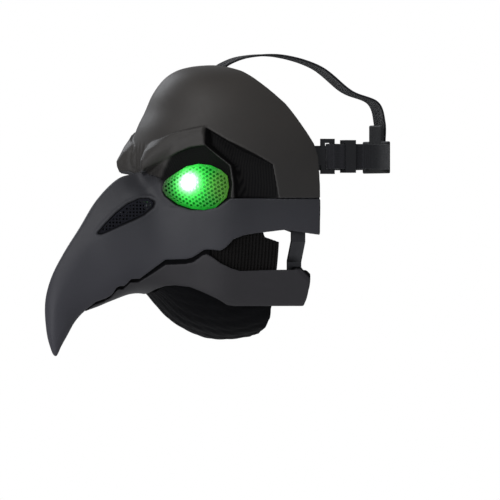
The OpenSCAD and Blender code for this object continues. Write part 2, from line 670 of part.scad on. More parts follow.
// gathered cloth under the jaw: y, half width, top of its sides, bottom of its middle
cover_st = [
    [-91, 22.5, -74, -84.5], [-85, 27, -73, -90], [-76, 32, -73, -100], [-65, 37.5, -76, -109.5],
    [-50, 43, -83, -117], [-36, 44.8, -86.5, -121.5], [-22, 48.2, -87, -122], [-8, 51.4, -87, -120]];
function cover_arc(s, d) = [for (i = [-10:10]) let (t = i / 10, a = abs(t))
    sp([sign(t) * (s[1] - d) * pow(sin(90 * min(a * 1.02, 1)), 0.9),
        s[0], (s[2] + (s[3] - s[2]) * pow(cos(90 * a), 0.75)) + d * (1 - a)])];
module chin_cover() {
    color(c_cloth) sheet([for (k = [0:14]) let (s = on(cover_st, k / 2), in = cover_arc(s, 1.5))
        concat(cover_arc(s, 0), [for (i = [20:-1:0]) in[i]])]);
}

// ---------- lamp supply ----------
wall_y = -134.6 * sy;
case_y = wall_y + 2.05;
case_d = 11.4;
case_z = [-80 * sz, -38 * sz];
case_hw = 13;
lid_pin = [case_y + case_d - 0.2, -41.5 * sz];
cell_z = lid_pin[1] - 4.2 - cell_r;
module case_bulkhead() {
    color(c_shell) translate([0, wall_y + 2, 0]) rotate([90, 0, 0]) linear_extrude(2) difference() {
        polygon([for (p = [[-9, -38], [-15, -46], [-17, -58], [-16, -72], [-11, -81], [11, -81], [16, -72],
            [17, -58],
            [15, -46], [9, -38]]) [p[0] * sx, p[1] * sz]]);
        for (s = [-1, 1]) translate([s * 8.5, -75.5 * sz]) circle(r = screw_r + 0.02, $fn = 32);
    }
}
module case_screws() {
    color(c_steel) for (s = [-1, 1]) translate([s * 8.5, 0, -75.5 * sz]) rotate([-90, 0, 0]) {
        translate([0, 0, wall_y]) cylinder(r = screw_r, h = 5.5, $fn = 32);
        translate([0, 0, case_y + 1.55]) cylinder(r = head_r, h = 1.2, $fn = 32);
    }
}
module battery_case() {
    t = 1.5;
    z0 = case_z[0];
    z1 = case_z[1];
    top = cell_z - cell_r - 0.6;
    color(c_black) difference() {
        translate([-case_hw, case_y, z0]) cube([case_hw * 2, case_d, z1 - z0]);
        // cell well, open to the back
        translate([0, case_y + t, cell_z]) rotate([-90, 0, 0]) cylinder(r = cell_r + 0.4, h = 30, $fn = 64);
        // recess for the lid
        translate([-case_hw + 1.2, case_y + case_d - 2.4, top - 2]) cube([case_hw * 2 - 2.4, 9, z1 - top +
            9]);
        // screw wells and switch slot in the lower part
        for (s = [-1, 1]) translate([s * 8.5, case_y - 1, -75.5 * sz]) rotate([-90, 0, 0]) {
            cylinder(r = screw_r + 0.1, h = 9, $fn = 32);
            translate([0, 0, 1 + t]) cylinder(r = head_r + 0.5, h = 30, $fn = 32);
        }
        translate([-4.2, case_y + case_d - 4, -78 * sz]) cube([8.4, 9, 3]);
        // clearance round the lid's knuckle
        xbar(2, -case_hw + 1.2, case_hw - 1.2, lid_pin[0] - 1.2, lid_pin[1], 48);
        // hinge eyes
        xbar(1.05, -30, 30, lid_pin[0] - 1.2, lid_pin[1], 48);
        // wire exits at the top
        for (s = [-1, 1]) translate([s * 9.5, case_y + 3.2, z1 - 9]) cylinder(r = 1.25, h = 13, $fn = 24);
    }
}
module battery_lid() {
    z0 = cell_z - cell_r - 2.2;
    z1 = lid_pin[1];
    w = case_hw - 1.5;
    y = case_y + case_d - 2;
    color(c_black) difference() {
        union() {
            translate([-w, y, z0]) cube([2 * w, 1.6, z1 - z0]);
            xbar(1.6, -w, w, lid_pin[0] - 1.2, z1, 48);
            xbar(1, -case_hw + 0.2, case_hw - 0.2, lid_pin[0] - 1.2, z1, 48);
        }
        // finger notch
        translate([0, y + 1.9, z0 + 3]) rotate([0, 90, 0]) cylinder(r = 1, h = 10, center = true, $fn = 32);
    }
}
module coin_cells() {
    color(c_steel) for (k = [0, 1]) translate([0, case_y + 2 + k * (cell_h + 0.1), cell_z]) rotate([-90, 0,
        0]) {
        cylinder(r = cell_r, h = cell_h - 0.6, $fn = 72);
        translate([0, 0, cell_h - 0.7]) cylinder(r = cell_r - 1.4, h = 0.7, $fn = 72);
    }
}
module contact_strip() {
    color([0.8, 0.66, 0.35]) translate([0, case_y + 1.55, cell_z]) rotate([-90, 0, 0]) cylinder(r = 6,
        h = 0.4, $fn = 48);
}
module switch_slider() {
    color(c_foam) {
        translate([-4, case_y + case_d - 3.8, -78 * sz + 0.15]) cube([4.6, 3, 2.7]);
        translate([-3, case_y + case_d - 1, -78 * sz + 0.5]) cube([2.6, 2.6, 2]);
    }
}
// wire from the case to a lamp: hand-set points
wire_r = 0.9;
wire_pts = [
    [9.5, -129.35, -43.5], [9.5, -129.35, -37.5], [10, -125.5, -30], [10, -119, -22], [11, -112.5, -16],
        [13.2, -105, -10],
    [16.5, -97.5, -6.5], [21.5, -91, -4], [24.5, -84.5, 3], [26, -80, 12], [30.5, -75, 18.5], [34.5, -71, 17],
    [36.5, -68.4, 9.5]];
wire_end = let (q = lens_at(lamp_q, lamp_out - 3)) [q[0], q[1], q[2]];
function unit(v) = v / max(norm(v), 1e-6);
module wire() {
    P = [for (p = concat(wire_pts, [wire_end])) sp(p)];
    m = (len(P) - 1) * 3;
    pts = [for (i = [0:m]) on(P, min(i / 3, len(P) - 1.0001))];
    rings = [for (i = [0:m]) let (t = unit(pts[min(i + 1, m)] - pts[max(i - 1, 0)]), a = unit(cross(t,
        [0.3, 0.9, 0.1])), b = cross(t, a))
        [for (j = [0:7]) pts[i] + wire_r * (cos(45 * j) * a + sin(45 * j) * b)]];
    color([0.5, 0.05, 0.05]) loft(rings, flip = true);
}

// ---------- pads ----------
module forehead_pad() {
    color(c_foam) translate([0, -15 * sy, 0]) rotate([0, 0, 230]) rotate_extrude(angle = 80, $fn = 96)
        polygon([for (p = [[75.5, 44], [66, 67], [66 - pad_t, 65], [75.5 - pad_t, 42]]) [(p[0] - 3) * sy,
            p[1] * sz]]);
}
module cheek_pad() {
    color(c_foam) translate([62.6 * sx - 2, -38 * sy, -23.5 * sz]) rotate([0, 0, -12]) rotate([0, -90, 0])
        linear_extrude(pad_t - 1) square([12, 24], center = true);
}

// ---------- straps ----------
anchor_in = 74.9 * sx;
strap_x = 77.5 * sx;
module strap_anchor() {
    x = anchor_in - 2.2;
    color(c_black) difference() {
        union() {
            yz_plate(x, 2) translate([anchor[0] - 6, anchor[1] - 7]) square([28, 14]);
            yz_plate(x, 2) translate([anchor[0] + 15, anchor[1] - strap_w / 2 - 4]) square([12, strap_w + 8]);
        }
        yz_plate(x - 1, 9) translate([anchor[0] + 18.5, anchor[1] - strap_w / 2 - 0.6]) square([4.5,
            strap_w + 1.2]);
        xbar(2.02, 0, 100 * sx, anchor[0], anchor[1], 48);
    }
}
module anchor_rivets() {
    x = anchor_in - 2.2;
    color(c_steel) both() {
        xbar(2, x - 0.4, 79.4 * sx, anchor[0], anchor[1], 48);
        xbar(4, x - 1.4, x - 0.02, anchor[0], anchor[1], 48);
    }
}
// flat strip swept through hand-set points; up: direction of its width
module strip(P, w, t, up, sub = 4) {
    m = (len(P) - 1) * sub;
    pts = [for (i = [0:m]) on(P, min(i / sub, len(P) - 1.0001))];
    rings = [for (i = [0:m]) let (d = unit(pts[min(i + 1, m)] - pts[max(i - 1, 0)]), n = unit(cross(d,
        up)), u = cross(n, d))
        [for (q = [[-1, -1], [1, -1], [1, 1], [-1, 1]]) pts[i] + u * q[0] * w / 2 + n * q[1] * t / 2]];
    loft(rings, flip = true);
}
ax = anchor_in - 1.2;
ay = anchor[0] + 20.8;
side_pts = [
    [ax - 3.3, ay + 32, anchor[1]], [ax - 3.3, ay + 16, anchor[1]], [ax - 2.9, ay + 4, anchor[1]],
    [ax - 0.2, ay - 0.4, anchor[1]], [ax + 2.5, ay + 4, anchor[1]], [ax + 2.4, ay + 16, anchor[1]],
    [ax + 2.2, ay + 32, anchor[1]], [ax - 5, ay + 50, anchor[1]], [ax - 21, ay + 64, anchor[1]],
    [ax - 43, ay + 73, anchor[1]], [22, ay + 76, anchor[1]], [14, ay + 76.5, anchor[1]]];
module side_strap() {
    color(c_cloth) strip(side_pts, strap_w, strap_t, [0, 0, 1]);
}
module strap_slider() {
    z = anchor[1];
    y = ay + 14;
    h = strap_w + 6;
    color(c_black) difference() {
        translate([ax - 5.8, y, z - h / 2]) cube([10.8, 9, h]);
        // passages for the two layers of strap
        translate([ax - 4.7, y - 1, z - strap_w / 2 - 0.5]) cube([2.8, 11, strap_w + 1]);
        translate([ax + 1.1, y - 1, z - strap_w / 2 - 0.5]) cube([2.7, 11, strap_w + 1]);
    }
}
module rear_patch() {
    y = ay + 76.4;
    z = anchor[1];
    color(c_black) translate([0, y + strap_t / 2 + 0.3, z]) rotate([-90, 0, 0]) linear_extrude(2.4) {
        translate([-24, -13]) square([48, 26]);
        translate([-12, -26]) square([24, 20]);
    }
}
module crown_anchor() {
    color(c_black) difference() {
        crown_plane() translate([-14, 0, 0]) cube([28, 37 * sy, 1.8]);
        crown_place() translate([0, 0, -1]) cylinder(r = screw_r + 0.1, h = 6, $fn = 32);
        translate([-11, -33.2 * sy, 60 * sz]) cube([22, 4.6, 60]);
    }
}
module crown_screws() {
    color(c_steel) crown_place() {
        translate([0, 0, -1.12]) cylinder(r = head_r, h = 1.1, $fn = 32);
        translate([0, 0, -0.5]) cylinder(r = screw_r, h = 5, $fn = 32);
    }
}
module crown_strap() {
    z = anchor[1];
    y = ay + 79;
    P = [[0, -43 * sy, 84.5 * sz], [0, -35.5 * sy, 87.5 * sz], [0, -33.2 * sy + 2.2, 91.8 * sz], [0,
        -27 * sy, 97.5 * sz],
        [0, -8 * sy, 104 * sz], [0, 22 * sy, 105 * sz], [0, 55 * sy, 96 * sz], [0, 82 * sy, 77 * sz], [0,
            y - 3.5, z + 44],
        [0, y + 2.7, z + 28], [0, y + 2.7, z + 12]];
    color(c_cloth) strip(P, strap_w, strap_t, [1, 0, 0], 3);
}

forehead_shell();
beak_shell();
jaw_shell();
eye_screen();  // eye_screen_left
mirror([1, 0, 0]) eye_screen();  // eye_screen_right
eye_lens();  // eye_lens_left
mirror([1, 0, 0]) eye_lens();  // eye_lens_right
eye_frame();  // eye_frame_left
mirror([1, 0, 0]) eye_frame();  // eye_frame_right
lamp_bracket();  // lamp_bracket_left
mirror([1, 0, 0]) lamp_bracket();  // lamp_bracket_right
lamp();  // lamp_left
mirror([1, 0, 0]) lamp();  // lamp_right
eye_frame_screws();
nostril_grille();  // nostril_grille_left
mirror([1, 0, 0]) nostril_grille();  // nostril_grille_right
cheek_mesh();  // cheek_mesh_left
mirror([1, 0, 0]) cheek_mesh();  // cheek_mesh_right
hinge_bracket();  // hinge_bracket_left
mirror([1, 0, 0]) hinge_bracket();  // hinge_bracket_right
bracket_screws();
hinge_pin();  // hinge_pin_left
mirror([1, 0, 0]) hinge_pin();  // hinge_pin_right
hinge_washers();
jaw_arm();  // jaw_arm_left
mirror([1, 0, 0]) jaw_arm();  // jaw_arm_right
jaw_arm_screws();
return_band();  // return_band_left
mirror([1, 0, 0]) return_band();  // return_band_right
chin_bar();
chin_bar_screw();
chin_cup();
chin_pad();
chin_cover();
case_bulkhead();
battery_case();
battery_lid();
coin_cells();
contact_strip();
case_screws();
switch_slider();
wire();  // lamp_wire_left
mirror([1, 0, 0]) wire();  // lamp_wire_right
forehead_pad();
cheek_pad();  // cheek_pad_left
mirror([1, 0, 0]) cheek_pad();  // cheek_pad_right
strap_anchor();  // strap_anchor_left
mirror([1, 0, 0]) strap_anchor();  // strap_anchor_right
anchor_rivets();
strap_slider();  // strap_slider_left
mirror([1, 0, 0]) strap_slider();  // strap_slider_right
side_strap();  // side_strap_left
mirror([1, 0, 0]) side_strap();  // side_strap_right
crown_anchor();
crown_screws();
crown_strap();
rear_patch();
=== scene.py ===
"""Looks of the plague doctor mask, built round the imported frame. Lengths are worked in millimetres."""

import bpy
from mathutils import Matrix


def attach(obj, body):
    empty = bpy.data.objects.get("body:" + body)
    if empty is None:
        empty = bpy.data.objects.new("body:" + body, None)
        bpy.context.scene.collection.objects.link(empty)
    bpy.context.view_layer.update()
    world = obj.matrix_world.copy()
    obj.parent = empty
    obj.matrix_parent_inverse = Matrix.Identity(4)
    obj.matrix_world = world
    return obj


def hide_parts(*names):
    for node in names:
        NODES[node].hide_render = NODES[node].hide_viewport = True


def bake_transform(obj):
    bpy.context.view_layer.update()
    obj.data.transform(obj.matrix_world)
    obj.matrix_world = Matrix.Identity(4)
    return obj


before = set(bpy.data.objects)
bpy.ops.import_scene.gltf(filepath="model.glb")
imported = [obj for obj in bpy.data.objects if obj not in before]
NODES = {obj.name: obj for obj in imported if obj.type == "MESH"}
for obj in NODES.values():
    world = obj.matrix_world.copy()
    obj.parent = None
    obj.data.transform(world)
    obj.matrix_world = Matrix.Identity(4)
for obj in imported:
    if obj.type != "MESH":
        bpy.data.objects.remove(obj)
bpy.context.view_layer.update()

import math

import bpy
import numpy as np
import openvdb as vdb
from mathutils import Vector

scene = bpy.context.scene

# ---------- camera and light, in metres ----------
VIEW_AZIMUTH = math.radians(65)
VIEW_DISTANCE = 8.0
VIEW_LEFT = 0.0032
VIEW_DOWN = 0.0504
RIGHT = Vector((math.cos(VIEW_AZIMUTH), math.sin(VIEW_AZIMUTH), 0))
TO_CAMERA = Vector((math.sin(VIEW_AZIMUTH), -math.cos(VIEW_AZIMUTH), 0))
UP = Vector((0, 0, 1))
FACE = Vector((0, -0.06, -0.01))

cam_data = bpy.data.cameras.new("camera")
cam_data.sensor_width = 36
cam_data.lens = 720
cam_data.clip_start, cam_data.clip_end = 0.5, 60
cam = bpy.data.objects.new("camera", cam_data)
scene.collection.objects.link(cam)
cam.rotation_mode = "QUATERNION"
cam.location = RIGHT * -VIEW_LEFT + TO_CAMERA * VIEW_DISTANCE - UP * VIEW_DOWN
cam.rotation_quaternion = (-TO_CAMERA).to_track_quat("-Z", "Y")
scene.camera = cam
scene.view_settings.view_transform = "Standard"
scene.view_settings.look = "None"


def area_light(name, at, size, power, colour):
    """A round soft box that shines on the face."""
    data = bpy.data.lights.new(name, "AREA")
    data.shape = "DISK"
    data.size = size
    data.energy = power
    data.color = colour
    o = bpy.data.objects.new(name, data)
    scene.collection.objects.link(o)
    o.location = at
    o.rotation_mode = "QUATERNION"
    o.rotation_quaternion = (FACE - at).to_track_quat("-Z", "Y")
    o.visible_camera = False


# name, steps from the face to the right, to the camera and up, size, watts, colour
LIGHTS = [
    ("key", -1.0, 0.9, 1.35, 0.9, 10, (1, 1, 1)),
    ("front", -0.9, 1.5, -0.1, 1.1, 12, (0.97, 0.98, 1)),
    ("rim", -0.9, -1.3, 0.9, 0.8, 6, (0.92, 0.95, 1)),
    ("far", 1.1, -1.2, 1.0, 1.0, 4, (1, 1, 1)),
]
for name, right, near, up, size, power, colour in LIGHTS:
    area_light(name, FACE + TO_CAMERA * near + RIGHT * right + UP * up, size, power, colour)

world = bpy.data.worlds.new("studio")
scene.world = world
world.use_nodes = True
sky = world.node_tree
sky.nodes.clear()


def backdrop(colour, strength):
    node = sky.nodes.new("ShaderNodeBackground")
    node.inputs["Color"].default_value = (*colour, 1)
    node.inputs["Strength"].default_value = strength
    return node.outputs[0]


# the camera sees plain white, and a dimmer, cooler fill lights the mask
sky_out = sky.nodes.new("ShaderNodeOutputWorld")
sky_choice = sky.nodes.new("ShaderNodeMixShader")
sky_path = sky.nodes.new("ShaderNodeLightPath")
sky.links.new(sky_path.outputs["Is Camera Ray"], sky_choice.inputs[0])
sky.links.new(backdrop((0.93, 0.96, 1), 0.34), sky_choice.inputs[1])
sky.links.new(backdrop((1, 1, 1), 1.0), sky_choice.inputs[2])
sky.links.new(sky_choice.outputs[0], sky_out.inputs["Surface"])

# ---------- forms: the same tables as the moulded parts ----------
# each station: top y z, bottom y z, then the half widths at five heights from top to bottom
BEAK_ST = np.array([
    [48, 66, 48, -114, 62, 83, 86, 80, 62], [22, 58, 22, -114, 58, 79.5, 83, 77, 60],
    [0, 52, 0, -113, 54, 76, 78, 71, 56], [-28, 44, -28, -112, 47, 71, 69.5, 63, 50],
    [-52, 36, -52, -108, 40, 66.5, 62.5, 56.5, 45], [-76, 26, -74, -98, 27, 48.5, 49, 45, 35],
    [-101, 12, -93, -88, 11, 28, 35, 35, 26], [-119.5, 6.2, -108, -87, 9, 21.5, 28, 28.5, 20],
    [-137.8, -10.6, -124, -92, 7.2, 17, 22, 22.5, 15.5],
    [-152.4, -32.4, -137, -97, 6, 13, 17, 17, 11.5],
    [-166.2, -52.5, -148, -101, 5.2, 10.5, 13, 12.5, 8.3],
    [-177, -72, -156, -107, 4.6, 8.5, 10.2, 9.5, 6], [-182.3, -92, -163.5, -118, 4, 7, 8, 7.4, 4.8],
    [-181, -115, -169, -127, 3, 4.8, 5.5, 5, 3.2], [-177, -130, -171.8, -133, 1.6, 2.6, 3, 2.6, 1.6],
    [-174.5, -134.6, -173.2, -134.9, 0.3, 0.5, 0.6, 0.5, 0.3]
], float)
# where the outline's points lie between top and bottom
BEAK_F = np.array([0, 0.08, 0.25, 0.5, 0.75, 0.92, 1])
# each level: height, half width, front y, corner fullness
DOME_ST = np.array([
    [-40, 77, -99, 2.15], [-15, 78.5, -100, 2.15], [5, 79.5, -101, 2.15], [25, 80, -101, 2.15],
    [44, 79, -97, 2.1], [60, 75.5, -89, 2.1], [73, 69, -83.5, 2.1], [84, 60.5, -76, 2.1],
    [91, 51, -67.5, 2.1], [95, 40, -57, 2.1], [97, 27, -42, 2.1], [97.6, 8, -14, 2]
], float)
# sections from the nose outwards: upper crease, face, lower edge
BROW_ST = np.array([
    [[8, -97.5, 30], [9, -102.5, 21], [8, -100.5, 9.5]],
    [[14, -99.5, 32.9], [17, -106.5, 22], [16.5, -106.6, 9.8]],
    [[20, -98.5, 35.5], [24, -110, 20], [24, -107.5, 12.5]],
    [[29, -96, 38], [33, -100.5, 27], [33, -95.5, 20.6]],
    [[38, -90, 42], [41, -88.5, 33], [41, -84, 27]],
    [[47, -81.5, 45], [48.5, -80, 38], [48.5, -76, 31]],
    [[55.5, -70, 47.6], [56.5, -71, 40], [56.5, -69.3, 32.2]]
], float)
# rims and beds of the pockets: x, y, z
EYE_RIM = np.array([
    [18, -103.5, 10.5], [24.5, -97.8, 3.5], [29.5, -94.8, -3], [31.5, -92.8, -7.6], [39, -86.2, -14.8],
    [47, -77.3, -18.4], [54.5, -67.9, -18.6], [61, -60.1, -16.4], [68, -52.4, -9.6], [69.2, -51.3, 2],
    [67.6, -52.8, 16.2], [62, -61.4, 24.2], [56, -69, 32.2], [47.5, -77, 30.6], [40.5, -85, 26.8],
    [33, -95.3, 20.6], [24, -106.2, 14.2]
], float)
# the lens's outline in its own plane: along from the nose side, height
LENS_PTS = np.array([
    [2, 4.5], [0, -0.5], [0, -3.2], [3.2, -7.8], [13, -14.6], [24, -18.2], [34, -19.2], [44, -17.4],
    [53.5, -9], [55.4, 0], [54.2, 8.4], [48.5, 13.4], [40, 17.3], [30, 18.4], [20, 16.4], [11, 11],
    [5, 7]
], float)
GROOVE_RIM = np.array([
    [55.8, -69.8, 47.6], [66, -56, 37.6], [74, -40, 29], [79.5, -22, 18], [80.5, -18, -9.4],
    [74, -37, -9.4], [69.9, -50.2, -9.4], [69.6, -50.6, 2], [68.4, -52, 16.6], [62.6, -60.6, 25],
    [56.4, -68.4, 33]
], float)
GROOVE_BED = np.array([
    [52, -62, 44], [58.5, -49, 35], [65, -38, 27], [76, -18, 17], [77, -14, -8.6], [67.5, -36, -8.6],
    [66, -45, -8.6], [65.6, -45.5, 2], [63.8, -45.8, 15], [58, -53.5, 24], [53, -61, 32]
], float)
NOSE_RIM = np.array([
    [15.5, -144.3, -37.6], [16.5, -138.3, -30.4], [18.5, -130, -21.3], [21, -120.1, -13.1],
    [24, -110.1, -9], [26.5, -103.3, -9], [28, -99.6, -12], [28.5, -100.9, -16], [27, -107.9, -22.2],
    [24.5, -115.8, -26.4], [21, -126.6, -31.2], [18.3, -134.8, -35.2], [16.3, -141.3, -38]
], float)
# cutting lines in the side view: y, z
PART_LINE = np.array([
    [-150, 12.6], [-104, 12.6], [-98, 9], [-90, 2.5], [-82, -5], [-70, -8.5], [-54, -9.4], [60, -9.6]
], float)
LIP_LINE = np.array([
    [-175, -150], [-163, -116], [-160, -110], [-156, -104.5], [-150, -97.5], [-143.5, -91.5],
    [-135, -88.5], [-131, -85.5], [-129, -80.5], [-126.5, -79], [-122.5, -79], [-118, -73.5],
    [-111, -73.2], [-103, -66], [-94, -58.2], [-79, -57.6], [-75, -56.4], [-67.5, -50.5], [-65.3, -50],
    [-56, -51], [-52.5, -48.6], [-47, -42], [-39.7, -39], [-31, -37.4], [-8, -34.5], [16, -38],
    [60, -44]
], float)
JAW_LINE = np.array([
    [-162, -118], [-156, -107.2], [-150, -100.3], [-143.5, -94.2], [-135, -91], [-130.3, -88.2],
    [-127.8, -83.2], [-126, -81.7], [-121.5, -81.4], [-117, -76], [-110.3, -75.8], [-102, -69.2],
    [-93, -61.9], [-79.5, -61.4], [-74, -60], [-68, -54.6], [-65, -53.6], [-61, -56], [-55, -60.8],
    [-47, -64.8], [-40, -67], [-28, -66.6], [-8, -66], [30, -66]
], float)
JAW_BASE = np.array([
    [-101, -130], [-97.5, -90], [-94.5, -81.5], [-90, -79], [-84, -78.4], [-74, -79.8], [-65, -83.8],
    [-55, -88.8], [-45.5, -94.2], [-40, -95], [30, -95]
], float)
REAR_LINE = np.array([
    [-46, 130], [-42, 99], [-30, 92], [-6, 66], [16, 34], [26, 6], [29, -20], [27, -50]
], float)
CHEEK_AREA = np.array([
    [-68, -46], [-60, -44], [-53, -40], [-47, -34], [-38, -31.5], [-24, -31], [-21, -40], [-10, -44],
    [-10, -70], [-28, -71], [-42, -71.5], [-55, -66], [-66, -58]
], float)
# gathered cloth under the jaw: y, half width, top of its sides, bottom of its middle
COVER_ST = np.array([
    [-91, 22.5, -74, -84.5], [-85, 27, -73, -90], [-76, 32, -73, -100], [-65, 37.5, -76, -109.5],
    [-50, 43, -83, -117], [-36, 44.8, -86.5, -121.5], [-22, 48.2, -87, -122], [-8, 51.4, -87, -120]
], float)
# the lens's own frame: where it starts, along it, and out of it
LENS_O = np.array([29, -94.2, 0])
LENS_D = np.array([0.602, 0.799, 0])
LENS_N = np.array([0.799, -0.602, 0])
LENS_MID = (27.5, -0.5)
SHELL_T = 2.4


def catmull(a, b, c, d, t):
    """The smooth curve from b to c, with a before it and d after it."""
    bend = 2 * a - 5 * b + 4 * c - d
    return 0.5 * (2 * b + (c - a) * t + bend * t * t + (3 * b - a - 3 * c + d) * t ** 3)


def along(rows, u):
    """The smooth row at place u of a table, counted in rows."""
    last = len(rows) - 1
    i = min(int(u), last - 1)
    return catmull(rows[max(i - 1, 0)], rows[i], rows[i + 1], rows[min(i + 2, last)], u - i)


def tube_index(rings, n):
    """Two neighbouring points of every ring, for all rings but the last."""
    i, j = np.meshgrid(np.arange(rings - 1), np.arange(n), indexing="ij")
    return (i * n + j).ravel(), (i * n + (j + 1) % n).ravel()


def loft(rings):
    """Closed solid through rings of equal length: points and triangles."""
    R = np.array(rings, float)
    m, n = R.shape[:2]
    pts = np.concatenate([R.reshape(-1, 3), [R[0].mean(0)], [R[-1].mean(0)]])
    a, b = tube_index(m, n)
    j = np.arange(n)
    j_next = (j + 1) % n
    start, end = np.full(n, m * n), np.full(n, m * n + 1)
    last = (m - 1) * n
    tri = np.concatenate([np.stack([a, b, b + n], 1), np.stack([a, b + n, a + n], 1),
                          np.stack([j_next, j, start], 1), np.stack([last + j, last + j_next, end], 1)])
    return pts, tri


def beak_ring(u, inset, seg):
    """A section of the beak, set in from its outside, with seg points from each height to the next."""
    station = along(BEAK_ST, u)
    top, bottom = station[:2], station[2:4]
    h = np.linalg.norm(bottom - top)
    down = (bottom - top) / max(h, 0.01)
    last = len(BEAK_F) - 1
    half = [np.array([0 if k in (0, last) else station[3 + k], BEAK_F[k] * h]) for k in range(last + 1)]
    guide = [half[1] * [-1, 1]] + half + [half[-2] * [-1, 1]]
    widest = max(q[0] for q in half)
    narrowed = max(1 - inset / max(widest, 0.1), 0.02)
    shortened = max(1 - 2.3 * inset / max(h, 0.1), 0.02)
    side = []
    for i in range(seg * last + 1):
        j = min(i // seg, last - 1)
        q = catmull(*guide[j:j + 4], i / seg - j)
        side.append([max(q[0], 0) * narrowed, h / 2 + (q[1] - h / 2) * shortened])
    line = np.array(side + [[-q[0], q[1]] for q in side[-2:0:-1]])
    return np.stack([line[:, 0], top[0] + down[0] * line[:, 1], top[1] + down[1] * line[:, 1]], 1)


def beak_form(inset=0.0, tip=15, seg=12, sub=7):
    """The beak and cheeks from the first station to the one numbered tip."""
    return loft([beak_ring(i / sub, inset, seg) for i in range(tip * sub + 1)])


DOME_MID_Y = 6
DOME_REAR = 72 / 108


def dome_ring(u, seg=180):
    """A level section of the dome: a superellipse, shorter behind its middle than before it."""
    z, half, front_y, fullness = along(DOME_ST, u)
    half = max(half, 0.5)
    front = max(DOME_MID_Y - front_y, 0.5)
    e = 2 / fullness
    t = np.arange(seg) * 2 * np.pi / seg
    c, s = np.cos(t), np.sin(t)
    deep = np.where(c > 0, front, DOME_REAR * front)
    return np.stack([half * np.sign(s) * np.abs(s) ** e, DOME_MID_Y - deep * np.sign(c) * np.abs(c) ** e,
                     np.full(seg, z)], 1)


def dome_form(sub=6):
    return loft([dome_ring(i / sub) for i in range((len(DOME_ST) - 1) * sub + 1)])


def brow_form(sub=8):
    """The left brow's ridge, sunk into the dome behind it."""
    crease, face, edge = BROW_ST.transpose(1, 0, 2)
    rings = []
    for i in range((len(BROW_ST) - 1) * sub + 1):
        a, b, c = (along(line, i / sub) for line in (crease, face, edge))
        rings.append([a, (a + b) / 2 + [0.4, -1.2, 0.3], b, (b + c) / 2 + [0.3, -0.6, 0], c, c + [-6, 22, 3],
                      a + [-6, 22, -3]])
    return loft(rings)


def lens_at(q, out=0.0, grow=0.0):
    """A point of the lens's plane in the mask's frame, moved out of the plane and away from its centre."""
    v = np.asarray(q, float) - LENS_MID
    w = LENS_MID + v * (1 + grow / np.linalg.norm(v))
    return LENS_O + LENS_D * w[0] + LENS_N * out + [0, 0, w[1]]


def densify(outline_pts, sub):
    """More points along a closed outline, kept straight between its corners."""
    step = np.roll(outline_pts, -1, 0) - outline_pts
    parts = np.stack([outline_pts + step * k / sub for k in range(sub)], 1)
    return parts.reshape(len(outline_pts) * sub, -1)


def eye_pocket():
    lens = np.array([lens_at(q) for q in LENS_PTS])
    far = EYE_RIM + [24, -16, 0] + 0.5 * (EYE_RIM - lens)
    bed = np.array([lens_at(q, -0.05) for q in LENS_PTS])
    return loft([densify(ring, 3) for ring in (far, EYE_RIM, bed)])


def lens_hole():
    return loft([[lens_at(q, out, -1.6) for q in LENS_PTS] for out in (6, -12)])


def groove_pocket():
    far = GROOVE_RIM + 3 * (GROOVE_RIM - GROOVE_BED) + [6, -2, 0]
    return loft([far, GROOVE_RIM, GROOVE_BED])


NOSE_C = NOSE_RIM.mean(0)
NOSE_N = np.array([0.9535, -0.3012, 0])


def nose_point(p, grow, out):
    """A rim point of the nostril, moved from its centre and out of its plane; inside, the plane is flat."""
    v = p - NOSE_C
    w = p + v * grow / np.linalg.norm(v)
    if out < 0:
        w = w - NOSE_N * ((w - NOSE_C) @ NOSE_N)
    return w + NOSE_N * out


def nose_loft(steps):
    """A solid through the nostril's rim; each step is how much it grows and how far out it lies."""
    return loft([densify(np.array([nose_point(p, *step) for p in NOSE_RIM]), 3) for step in steps])


# ---------- solids by distance field ----------
def outline(corners, yy, zz):
    """Signed distance to a closed outline; below zero inside."""
    d = np.full(yy.shape, 1e9)
    inside = np.zeros(yy.shape, bool)
    for a, b in zip(corners, np.roll(corners, -1, 0)):
        e = b - a
        t = np.clip(((yy - a[0]) * e[0] + (zz - a[1]) * e[1]) / max(e @ e, 1e-12), 0, 1)
        d = np.minimum(d, np.hypot(yy - a[0] - t * e[0], zz - a[1] - t * e[1]))
        if a[1] != b[1]:
            between = (a[1] > zz) != (b[1] > zz)
            inside ^= between & (yy < (b[0] - a[0]) * (zz - a[1]) / (b[1] - a[1]) + a[0])
    return np.where(inside, -d, d)


